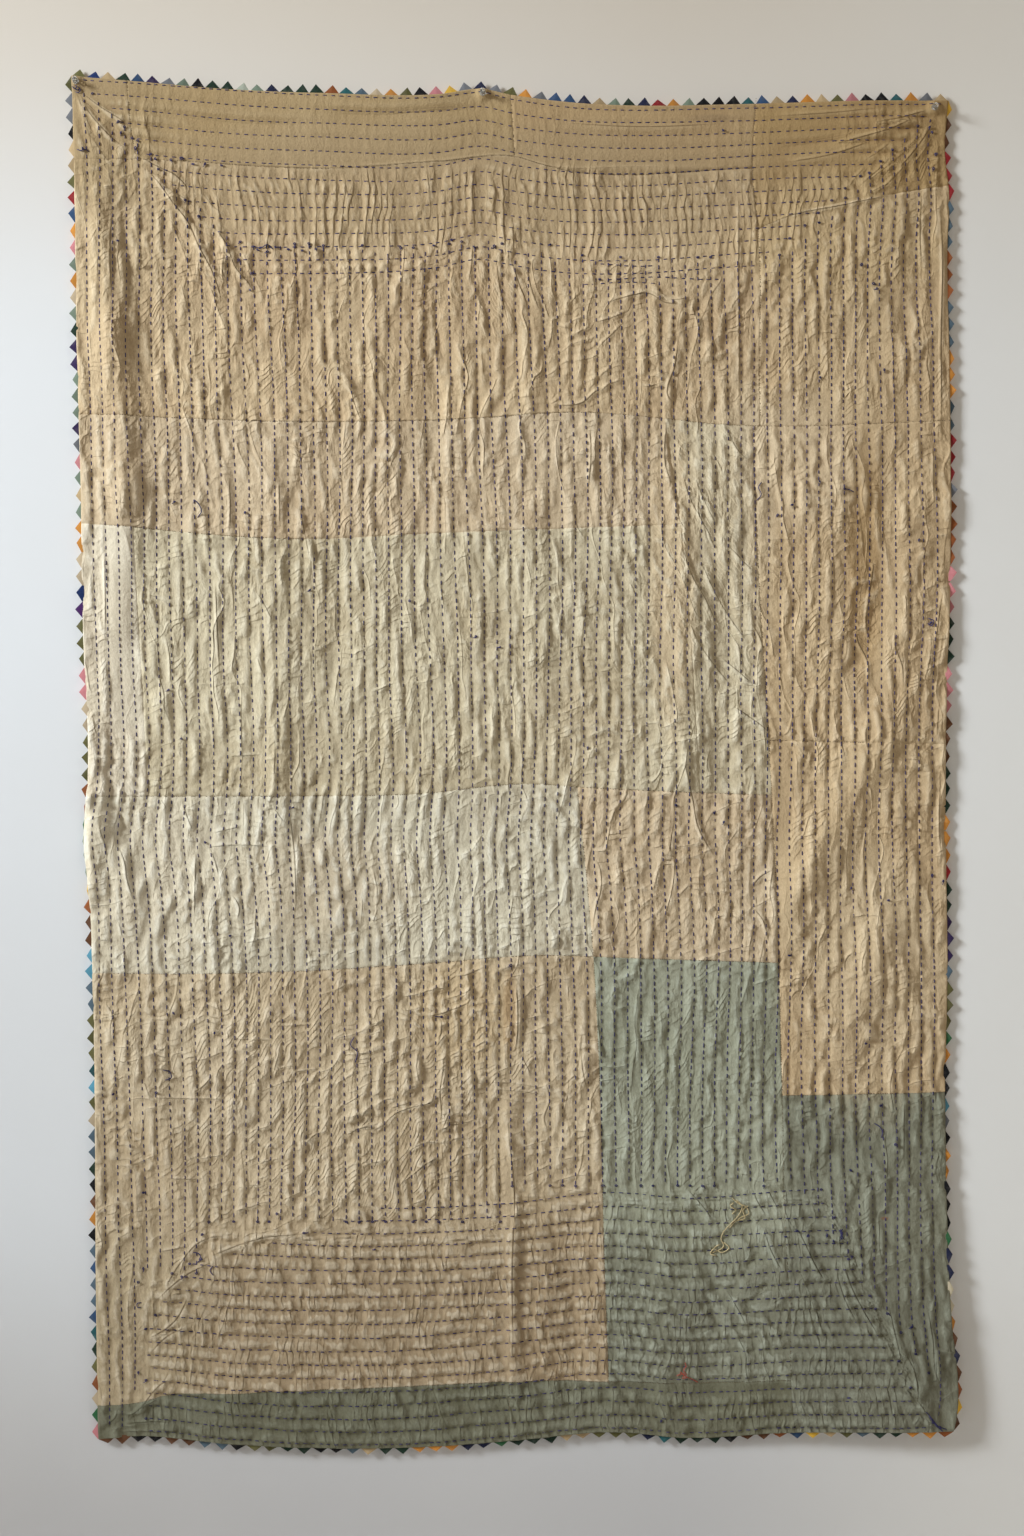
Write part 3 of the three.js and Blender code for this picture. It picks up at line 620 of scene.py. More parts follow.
rolls = ridged(down_number) * down_roll * rows_down
rolls = rolls + (TOP_ROLL_HEIGHT + STRIP_ROLL_MORE * in_strips) * ridged(top_number) * across_top
rolls = rolls + LOW_ROLL_HEIGHT * ridged(low_number) * (0.5 + 0.5 * patchy) * across_low
row_shift = np.sin(7.3 * np.floor(low_number)) * across_low
rib_place = net_x - 3.2 + 5 * uneven_field(net_x / 60, net_drop / 70, 46)
rib_place = rib_place + 2.6 * uneven_field(net_x / 17, net_drop / 26, 47)
rib_line = 0.45 * row_shift + rib_place / RIB_SPACING
rib_strength = 0.8 + 0.75 * uneven_field(net_x / 16, net_drop / (60 - 35 * across_low), 27)
rib_strength = np.clip(rib_strength, 0.1, 1.8) * (1 + 0.25 * across_low)
rib_strength = rib_strength * (1 + 0.5 * np.exp(-((net_x / 110) ** 2)) * across_top)
ribs = ridged(rib_line, 1.8) * rib_strength
push = (0.03 * streaks * rows_down * slack).astype(np.float32)

STIFFNESS, FIRMNESS, BACKING, PACE = 0.02, 0.006, 0.05, 0.5
CREASE = 0.5  # bend past which the cloth gives way
STITCH_DEPTH = 0.5
DEEPEST, HIGHEST = -2.8, 4.5  # deeper than this the two cloths would meet
SUNK = 1.9  # how far the middle of all the relief lies under the face of flat cloth
TURNS = 260


def bent(net):
    """How much each point of a net lies below the middle of its four neighbours."""
    bend = np.zeros_like(net)
    bend[1:-1, 1:-1] = net[:-2, 1:-1] + net[2:, 1:-1] + net[1:-1, :-2] + net[1:-1, 2:] - 4 * net[1:-1, 1:-1]
    return bend


pucker = (0.3 * streaks * slack + 0.1 * hand.standard_normal(net_x.shape)).astype(np.float32)
pucker = smeared(pucker)
for turn in range(TURNS):
    across = np.zeros_like(pucker)
    along = np.zeros_like(pucker)
    across[:, :-1] = (pucker[:, 1:] - pucker[:, :-1]) / NET
    along[:-1] = (pucker[1:] - pucker[:-1]) / NET
    if turn % 2 == 0:
        want_xx = np.maximum(spare_xx - smeared(smeared(across * across)), -0.1)
        want_zz = np.maximum(spare_zz - smeared(smeared(along * along)), -0.1)
        want_xz = np.clip(spare_xz - smeared(smeared(across * along)), -0.1, 0.1)
    flow_x = want_xx * across + want_xz * along
    flow_z = want_xz * across + want_zz * along
    spread = np.zeros_like(pucker)
    spread[:, 1:] += flow_x[:, 1:] - flow_x[:, :-1]
    spread[1:] += flow_z[1:] - flow_z[:-1]
    bend = bent(pucker)
    stiff = bent(bend / (1 + (np.maximum(bend, 0) / CREASE) ** 2))
    pull = push - spread * NET - STIFFNESS * stiff
    pucker += PACE * (pull - FIRMNESS * pucker - BACKING * np.minimum(pucker, 0))
    pucker -= 0.5 * held * (pucker + STITCH_DEPTH)
relief = wrinkles * (rows_down + 0.7 * across_top + 1.2 * across_low)
relief = relief + (RIB_HEIGHT + LOW_RIB_MORE * across_low) * ribs * rows_across + rolls - SUNK
pucker = np.clip(pucker + relief * slack, DEEPEST, HIGHEST)


def folds(u, v, seed, strength):
    """Where uneven small folds run, and how strong each is: they fall away to the lower right."""
    u = u + 0.3 * uneven_field(net_x / 31, net_drop / 35, seed + 1)
    v = v + 0.3 * uneven_field(net_x / 35, net_drop / 31, seed + 4)
    line = uneven_field(u, v, seed + 2)
    fall_down, fall_across = np.gradient(smeared(line), NET)
    falls = np.clip((0.85 * fall_across + 0.5 * fall_down) * 16, 0, 1)
    broken = np.clip(0.75 + 0.7 * uneven_field(net_x / 36, net_drop / 44, seed + 3), 0, 1.6)
    return line, smeared(falls * broken * strength * slack)


def saw(line, drop_within):
    """Rises gently up to where the line is 0, then falls within the width given."""
    return soft((line + 0.75) / 0.75) * (1 - soft(line / drop_within))


FOLDED = [  # x, drop, reach across, reach down, more of the steep folds, more of the level ones
    (330, 880, 110, 330, 0.7, 0.1),
    (250, 1250, 130, 140, 0.5, 0.1),
    (-480, 900, 160, 220, 0.3, -0.2),
    (-470, 1250, 190, 160, -0.2, -0.3),
    (-80, 1480, 130, 170, -0.3, 0.8),
    (-330, 1600, 200, 160, -0.3, 0.9),
    (-180, 1690, 160, 70, -0.3, 0.9),
    (170, 380, 120, 120, -0.2, 0.7),
    (-560, 250, 120, 200, -0.4, -0.2),
    (520, 1300, 130, 200, 0.2, -0.2),
    (450, 560, 180, 90, -0.3, -0.2),
    (0, 400, 110, 170, 0.5, 0.0),
    (-170, 560, 90, 200, 0.4, -0.1),
    (-230, 330, 110, 110, -0.2, 0.3),
    (590, 100, 110, 70, -0.4, 1.3),
    (-560, 140, 120, 80, -0.1, 0.6),
]
steep_strength, level_strength = np.full_like(net_x, 0.75), 0.3 + 0.3 * low_down
for x, drop, across, down, steep, level in FOLDED:
    near = round_place(x, drop, across, down)
    steep_strength, level_strength = steep_strength + steep * near, level_strength + level * near
steep_strength = np.clip(steep_strength, 0, 2) * (1 - 0.7 * across_top - 0.3 * across_low)
level_strength = np.clip(level_strength, 0, 2) * (1 - 0.8 * across_top - 0.3 * across_low)
steep_line, steep_strength = folds((net_x - leaning) / 12, net_drop / 95, 51, steep_strength)
level_rise = 0.3 * net_x + 7 * uneven_field(net_x / 90, net_drop / 80, 9)
level_line, level_strength = folds((net_x - leaning) / 30, (net_drop + level_rise) / 11, 61, level_strength)
level_strength = level_strength * (0.45 + 0.65 * ridged(down_number))
STEEP_HEIGHT, LEVEL_HEIGHT, FALL_WITHIN = 1.5, 2.1, 0.4
pucker = pucker + STEEP_HEIGHT * saw(steep_line, FALL_WITHIN) * steep_strength
pucker = pucker + LEVEL_HEIGHT * saw(level_line, FALL_WITHIN) * level_strength

# Creases pressed in by storage, pulls towards the pins and the corners, and tucks at the mends. A
# crease rises gently on its window side and falls steeply on the other.
CREASES = [  # half width, height, then its places as x, drop, x, drop
    # the fan below the left pin
    (9, 1.6, -685, -8, -656, 17, -613, 46, -599, 58),
    (9, 1.7, -685, -2, -667, 30, -640, 62, -604, 93),
    (7, 1.3, -688, -5, -676, 30, -669, 85),
    (7, 1.2, -679, 9, -660, 45, -648, 80),
    (8, 2.2, -592, 97, -558, 117, -531, 130, -513, 149, -508, 168),
    (11, 2.6, -588, 105, -563, 134, -536, 171, -509, 207, -495, 239, -472, 283, -459, 324, -455, 352),
    (7, 1.4, -581, 109, -550, 149, -518, 166, -495, 188),
    (7, 1.9, -450, 239, -455, 265, -457, 307),
    (5, 1.2, -690, 2, -674, 40, -662, 84, -657, 112),
    (5, 1.1, -683, 6, -656, 42, -627, 80, -600, 101),
    (5, 1.0, -678, 0, -642, 26, -612, 52, -592, 72),
    (4, 0.9, -686, 12, -667, 58, -642, 100, -618, 128),
    (6, 1.4, -575, 115, -540, 160, -508, 213),
    (5, 1.2, -522, 170, -500, 215, -482, 262, -470, 300),
    (6, 1.5, -507, 240, -480, 290, -462, 345, -446, 382),
    (5, 1.2, -470, 215, -442, 262, -421, 312),
    (5, 1.1, -430, 240, -406, 290, -386, 334),
    (5, 1.2, -543, 190, -521, 240, -502, 292),
    (5, 1.1, -493, 150, -470, 180, -448, 196),
    (8, 1.8, -477, 202, -450, 239, -436, 275, -414, 302, -396, 333),
    (5, 1.8, -629, 175, -632, 250, -628, 337),
    # under the middle pin
    (9, 1.7, -28, 251, -21, 300, -8, 359),
    (9, 1.8, -2, 264, 8, 295, 27, 341),
    (8, 1.5, 22, 269, 30, 310, 46, 351),
    (8, 1.4, -62, 228, -65, 273, -71, 305),
    # the fan below the right pin
    (8, 2.0, 662, 22, 615, 36, 561, 47),
    (5, 1.1, 655, 30, 610, 48, 560, 62, 500, 74),
    (5, 1.2, 660, 40, 640, 66, 622, 84, 596, 98),
    (5, 1.2, 668, 48, 655, 78, 640, 100, 622, 122),
    (5, 1.1, 640, 84, 612, 104, 590, 122, 570, 150),
    (5, 1.1, 600, 72, 575, 92, 548, 108),
    (4, 1.0, 628, 112, 612, 134, 604, 160),
    (4, 1.0, 560, 112, 540, 132, 524, 156),
    (9, 1.7, 660, 24, 597, 54, 544, 70, 480, 85),
    (7, 1.6, 670, 32, 638, 82, 611, 114, 592, 131),
    (8, 1.6, 645, 145, 642, 226, 645, 289),
    (5, 1.9, 356, 134, 356, 320, 358, 505),
    (8, 2.1, 673, 150, 677, 250, 675, 400, 677, 560),
    # folded edges at the seams, and soft bands in the top strips
    (3, 1.0, -580, 103, -435, 110, -288, 117, -114, 106, 12, 100, 47, 111, 200, 115, 376, 117),
    (4, 2.3, 392, 212, 428, 195, 515, 176, 610, 156),
    (3, 0.6, -648, 505, -303, 516, -73, 511, 96, 501, 250, 512, 376, 522),
    (3, 0.7, -590, 2059, -553, 2050, -430, 2045, -177, 2034, 0, 2026, 152, 2026, 297, 2029, 430, 2023),
    (14, -1.6, -330, 26, -200, 30, -90, 22, -20, 26),
    (16, 1.5, 60, 44, 200, 52, 350, 46),
    (14, -1.4, -560, 30, -420, 44, -300, 46),
    (15, 1.4, 400, 36, 500, 30, 600, 20),
    (14, 1.6, 420, 110, 500, 96, 580, 70),
    (12, -1.4, 400, 84, 470, 76, 560, 60),
    (7, 1.3, 540, 150, 575, 120, 600, 96),
    (7, 1.3, 570, 160, 604, 128, 628, 100),
    # the mend in the upper middle
    (8, 2.2, 139, 332, 180, 319, 216, 314, 239, 327, 280, 332),
    (7, 1.6, 216, 298, 224, 311, 247, 323, 290, 319),
    (7, 2.0, 279, 327, 290, 357, 297, 397),
    (6, 1.7, 125, 361, 157, 352, 184, 341),
    (6, 1.6, 130, 406, 145, 389, 156, 379, 180, 354),
    (5, 1.5, 103, 420, 130, 413, 141, 404),
    (6, 2.0, 58, 490, 112, 485, 130, 469, 153, 458),
    (5, 1.4, 202, 461, 240, 458),
    (13, 2.4, 261, 379, 256, 425, 245, 479, 261, 496),
    (6, 1.9, 243, 515, 240, 542, 243, 596, 256, 627),
    (12, 2.2, 121, 515, 123, 569, 119, 627),
    (8, 1.6, 333, 520, 360, 569, 376, 580),
    # shirring of the tall sage panel
    (7, 1.6, 265, 590, 280, 640, 300, 680, 310, 720),
    (6, 1.5, 285, 600, 305, 650, 325, 690),
    (6, 1.5, 262, 700, 282, 760, 305, 800, 330, 860),
    (7, 1.6, 290, 720, 315, 780, 345, 830, 380, 880),
    (6, 1.4, 270, 800, 290, 860, 325, 910, 360, 950),
    (7, 1.7, 338, 711, 365, 740, 384, 758),
    (7, 1.8, 324, 885, 346, 903, 384, 936),
    (8, 2.3, 342, 962, 369, 980, 387, 993, 408, 1011),
    (6, 1.4, 256, 962, 259, 980, 254, 993),
    (8, 2.1, 265, 1030, 274, 1070, 283, 1111, 292, 1156, 311, 1191, 327, 1212),
    # the left side, from the top down
    (6, 2.1, -468, 758, -466, 808, -464, 858, -461, 921),
    (8, 1.8, -547, 848, -540, 885, -538, 935),
    (7, 1.6, -566, 903, -551, 935, -547, 993),
    (7, 1.7, -403, 785, -389, 808, -376, 835),
    (6, 1.4, -403, 885, -392, 916),
    (8, 1.9, -447, 600, -444, 650, -446, 697),
    (8, 1.7, -367, 603, -366, 686),
    (7, 1.6, -335, 651, -326, 700, -318, 741),
    (4, 1.8, -641, 710, -640, 860),
    (6, 1.6, -642, 1079, -648, 1106),
    (6, 1.6, -648, 1138, -646, 1164, -640, 1183, -637, 1210),
    (7, 1.9, -624, 1179, -610, 1210, -606, 1237, -594, 1273),
    (6, 1.5, -622, 1300, -617, 1314, -614, 1332),
    (6, 1.7, -611, 1345, -609, 1398),
    (7, 1.8, -645, 1364, -645, 1386, -652, 1404, -653, 1436),
    (7, 1.6, -646, 1427, -630, 1449, -626, 1480, -627, 1499),
    (7, 2.0, -521, 1115, -511, 1142, -502, 1164),
    (6, 1.4, -556, 1108, -543, 1128),
    (7, 2.0, -498, 1191, -500, 1259, -501, 1305),
    (5, 1.4, -476, 1164, -421, 1152),
    (5, 1.3, -498, 1187, -425, 1182, -362, 1186),
    (5, 1.3, -493, 1338, -468, 1335),
    (5, 1.4, -425, 1338, -371, 1325),
    (8, 1.6, -479, 1183, -468, 1210, -461, 1237),
    (8, 1.7, -443, 1259, -430, 1282, -434, 1305),
    (7, 1.5, -376, 1124, -357, 1151),
    (8, 1.7, -353, 1115, -344, 1191, -340, 1296),
    (6, 1.6, -580, 1552, -569, 1583),
    (6, 1.5, -507, 1575, -485, 1560, -466, 1537),
    # storage folds, across
    (4, 1.2, -382, 1468, -302, 1465),
    (4, 1.2, -446, 1487, -367, 1490),
    (4, 1.3, -572, 1580, -446, 1582),
    (4, 1.1, -335, 1594, -295, 1593),
    (4, 1.2, -548, 1706, -485, 1708),
    (4, 1.2, -447, 1043, -389, 1040),
    (6, 1.7, -182, 926, -223, 943),
    (4, 1.2, 477, 867, 500, 864),
    (4, 1.1, -103, 2052, 76, 2045),
    # the darned place in the middle
    (7, 1.8, -148, 1503, -151, 1535, -145, 1562),
    (7, 1.7, -114, 1449, -112, 1472, -119, 1499, -123, 1507),
    (8, 2.1, -109, 1499, -109, 1531, -114, 1567, -116, 1621, -132, 1638),
    (6, 1.8, -145, 1452, -119, 1449, -92, 1440, -58, 1427),
    (6, 1.7, -92, 1390, -72, 1386, -42, 1373),
    (11, 3.6, 5, 1395, 8, 1440, 8, 1470, 5, 1510),
    (7, 1.7, -92, 1585, -114, 1638),
    (7, 1.6, -60, 1539, -87, 1567),
    (6, 1.5, -195, 1598, -155, 1585),
    (7, 1.8, 13, 1512, 30, 1548),
    (9, 1.7, 49, 1548, 58, 1585, 50, 1612, 58, 1643),
    (9, 1.6, 112, 1458, 107, 1504, 112, 1548, 121, 1585),
    (3, 1.0, -60, 1553, 20, 1560, 100, 1575),
    (3, 1.0, -50, 1565, 30, 1572, 95, 1587),
    (3, 1.0, -40, 1578, 40, 1590),
    (10, 1.9, -10, 1575, -5, 1648, 2, 1716, -1, 1850, 1, 2020),
    # below the middle, right of the darn
    (8, 2.0, 412, 1219, 387, 1235, 376, 1251),
    (7, 1.7, 374, 1278, 392, 1300, 405, 1341),
    (8, 2.0, 125, 1196, 137, 1219, 139, 1251, 130, 1286, 125, 1327),
    (6, 1.5, 281, 1242, 261, 1264),
    (6, 1.5, 314, 1300, 338, 1291),
    # the right side
    (30, -1.3, 540, 610, 550, 700, 562, 790, 566, 880),
    (12, 2.3, 572, 714, 567, 758, 561, 795, 559, 848, 577, 885),
    (7, 1.8, 543, 831, 543, 858, 559, 894, 561, 939),
    (8, 1.8, 604, 835, 602, 867, 613, 903, 615, 943),
    (4, 1.6, 663, 542, 663, 654),
    (8, 1.8, 660, 831, 658, 885, 645, 935),
    (7, 1.8, 681, 763, 672, 822, 665, 885, 665, 943),
    (7, 1.5, 672, 958, 668, 1016),
    (7, 1.5, 675, 1060, 672, 1140, 676, 1221),
    (5, 1.6, 616, 1578, 615, 1689),
    (7, 1.8, 649, 1896, 659, 1959, 667, 2022, 680, 2041),
    (6, 1.6, 668, 1885, 657, 1920),
    # pulls across the green panels
    (7, 1.7, 270, 1720, 299, 1752, 319, 1779),
    (8, 1.8, 376, 1720, 382, 1738, 401, 1770),
    (7, 1.7, 401, 1725, 419, 1760),
    (8, 2.3, 392, 1778, 403, 1814, 425, 1857),
    (8, 2.2, 444, 1778, 463, 1818, 474, 1841, 497, 1880),
    (7, 2.0, 506, 1847, 523, 1901, 543, 1938),
    (7, 2.1, 518, 1833, 532, 1878, 551, 1915, 581, 1965),
    (7, 1.9, 589, 1900, 598, 1945, 611, 2000),
    (8, 1.9, 611, 1972, 629, 2007, 636, 2059),
    (7, 1.7, 333, 1878, 355, 1915, 371, 1947),
    (8, 2.2, 349, 1948, 366, 1985, 368, 2019, 377, 2038),
    (6, 1.6, 630, 2049, 649, 2073),
    (6, 1.5, 640, 2076, 627, 2095),
    # pulls towards the lower left corner
    (7, 1.8, -444, 1790, -498, 1811, -524, 1842, -551, 1883, -574, 1905),
    (7, 1.8, -310, 1792, -398, 1801, -461, 1823, -493, 1838),
    (7, 1.9, -461, 1833, -515, 1860, -534, 1874, -566, 1905),
    (8, 2.3, -507, 1885, -529, 1928, -545, 1943, -577, 1961),
    (7, 1.9, -507, 1937, -542, 1954, -574, 1986),
    (7, 1.8, -520, 2021, -547, 2027, -592, 2073, -615, 2086),
    (6, 1.6, -551, 2049, -583, 2068, -610, 2086),
    (6, 1.6, -525, 2090, -578, 2090, -615, 2095),
    (4, 1.5, -540, 2108, -602, 2106, -620, 2108),
    (6, 1.4, -646, 2100, -624, 2081, -622, 2064),
    (5, 1.4, -561, 1823, -525, 1817, -498, 1808),
    (6, 1.5, -403, 1801, -425, 1820, -423, 1842),
]


def smooth_path(places, step):
    """Places a step apart on a smooth line through those given, and how far along each is."""
    places = np.reshape(places, (-1, 2)).astype(float)
    run = np.concatenate([[0], np.cumsum(np.linalg.norm(np.diff(places, axis=0), axis=1))])
    at = np.linspace(0, run[-1], max(4, int(run[-1] / step)))
    return at, np.column_stack([curve(np.column_stack([run, places[:, k]]), at) for k in (0, 1)])


CREASE_STRENGTH = 1.2
STEEP_SIDE = 0.5  # width of a crease's steep side, as a share of the gentle one's
creased = np.zeros_like(net_x)
crease_side, crease_size = np.full_like(net_x, 20), np.zeros_like(net_x)
for half_width, height, *places in CREASES:
    at, path = smooth_path(places, STEP)
    along = np.gradient(path, at, axis=0)
    along = along / np.linalg.norm(along, axis=1)[:, None]
    lee = np.column_stack([along[:, 1], -along[:, 0]])
    lee = lee * np.sign((0.9 * lee[:, 0] + 0.3 * lee[:, 1]).sum())
    low, high = path.min(axis=0) - 3 * half_width, path.max(axis=0) + 3 * half_width
    rows = slice(*np.clip(np.searchsorted(NET_DROP, (low[1], high[1])), 1, len(NET_DROP) - 1))
    columns = slice(*np.clip(np.searchsorted(NET_X, (low[0], high[0])), 1, len(NET_X) - 1))
    dx = net_x[rows, columns, None] - path[:, 0]
    dz = net_drop[rows, columns, None] - path[:, 1]
    near = np.argmin(dx * dx + dz * dz, axis=2)[..., None]
    dx, dz = np.take_along_axis(dx, near, 2)[..., 0], np.take_along_axis(dz, near, 2)[..., 0]
    near = near[..., 0]
    aside = (dx * lee[near, 0] + dz * lee[near, 1]) * np.sign(height)
    flank = np.where(aside > 0, STEEP_SIDE * half_width, half_width)
    ends = soft(np.minimum(at, at[-1] - at) / (0.3 * at[-1]))[near]
    creased[rows, columns] += CREASE_STRENGTH * height * ends * np.exp(-(dx * dx + dz * dz) / flank**2)
    size = abs(height) * ends * np.exp(-(dx * dx + dz * dz) / (1.3 * half_width) ** 2)
    nearest = size > crease_size[rows, columns]
    crease_side[rows, columns] = np.where(nearest, aside, crease_side[rows, columns])
    crease_size[rows, columns] = np.where(nearest, size, crease_size[rows, columns])
pucker = np.maximum(pucker + creased, DEEPEST)


def read_net(net, x, drop):
    """The value of a net at any places, smooth between its points."""
    fx = np.clip((x - NET_X[0]) / NET, 1, len(NET_X) - 3)
    fz = np.clip((drop - NET_DROP[0]) / NET, 1, len(NET_DROP) - 3)
    ix, iz = fx.astype(int), fz.astype(int)
    tx, tz = fx - ix, fz - iz

    def weights(t):
        return (
            -0.5 * t + t * t - 0.5 * t**3,
            1 - 2.5 * t * t + 1.5 * t**3,
            0.5 * t + 2 * t * t - 1.5 * t**3,
            -0.5 * t * t + 0.5 * t**3,
        )

    total = 0
    for row, down in enumerate(weights(tz)):
        line = [side * net[iz + row - 1, ix + column - 1] for column, side in enumerate(weights(tx))]
        total = total + down * sum(line)
    return total


# Every fold flops over a little to the lower right, so it rises gently and drops sharply.
FLOP, FLOP_DOWN = 0.35, 0.45
for _ in range(3):
    flop = FLOP * np.clip(pucker + 1.5, 0, 5)
    pucker = read_net(pucker, net_x - flop, net_drop - FLOP_DOWN * flop)

around = pucker
for _ in range(24):  # about one roll's width
    around = smeared(around)
hollows = around - pucker  # above 0 in the hollows, below on the rolls

# What the cotton's material follows, each as three numbers at a place on the cloth.
SEWN = {
    "rows": (down_number, gather_line, tilt),
    "gathers": (gathered * rows_down, rib_line, rib_strength * rows_across * slack),
    # where the creases lie, and the relief, from which the material paints the rolls paler and the hollows
    # darker as painted shade
    "creases": (crease_side, crease_size, -hollows),
    "steep_folds": (steep_line, steep_strength, np.zeros_like(net_x)),
    "level_folds": (level_line, level_strength, np.zeros_like(net_x)),
}

PRESSED_REACH = 11  # round a pin, where its flange presses the cloth flat
FLANGE_GAP = 0.2


def cloth_face(x, drop):
    """Distance from the wall to the face of the pieced reverse."""
    face = stand_off(x, drop) + REVERSE_FACE + read_net(pucker, x, drop)
    for name, pin_x, pin_drop in PINS:
        flange = -1000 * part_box(f"pin_grip_{name}")[1].y
        near = np.exp(-(((x - pin_x) ** 2 + (drop - pin_drop) ** 2) / PRESSED_REACH**2) ** 2)
        face = face * (1 - near) + (flange - FLANGE_GAP) * near
    return face


def cloth_mesh(name, x, drop, out, room_side=True):
    """A net of places, row by row, as an open sheet that faces the room or the wall."""
    rows, columns = x.shape
    places = np.stack([x, -out, -drop], axis=-1).reshape(-1, 3) / 1000
    corner = (np.arange(rows - 1)[:, None] * columns + np.arange(columns - 1)).ravel()
    faces = np.stack([corner, corner + columns, corner + columns + 1, corner + 1], axis=1)
    if not room_side:
        faces = faces[:, ::-1]
    mesh = bpy.data.meshes.new(name)
    mesh.vertices.add(len(places))
    mesh.vertices.foreach_set("co", places.ravel())
    mesh.loops.add(faces.size)
    mesh.loops.foreach_set("vertex_index", faces.ravel().astype(np.int32))
    mesh.polygons.add(len(faces))
    mesh.polygons.foreach_set("loop_start", np.arange(0, faces.size, 4, dtype=np.int32))
    mesh.update(calc_edges=True)
    for word, nets in SEWN.items():
        values = np.stack([read_net(net, x, drop) for net in nets], axis=-1).astype(np.float32)
        mesh.attributes.new(word, "FLOAT_VECTOR", "POINT").data.foreach_set("vector", values.ravel())
    mesh.shade_smooth()
    return put_in(name, mesh)


NEAR_EDGE = {"seam": [0, 1.0, 2.6], "rim": [0, 0.5, 1.5, 3.0]}


def lines_between(length, spacing, first_edge, last_edge):
    """Fractions along a side, closer together at an edge that is turned under or over."""
    start = NEAR_EDGE[first_edge]
    end = [length - step for step in NEAR_EDGE[last_edge]][::-1]
    count = max(1, int(round((end[0] - start[-1]) / spacing)))
    middle = np.linspace(start[-1], end[0], count + 1)
    return np.concatenate([start[:-1], middle, end[1:]]) / length


def turned_edge(away, reach):
    """1 at an edge and 0 beyond the reach, as round as a fold."""
    return 1 - np.sqrt(1 - (1 - np.clip(away / reach, 0, 1)) ** 2)


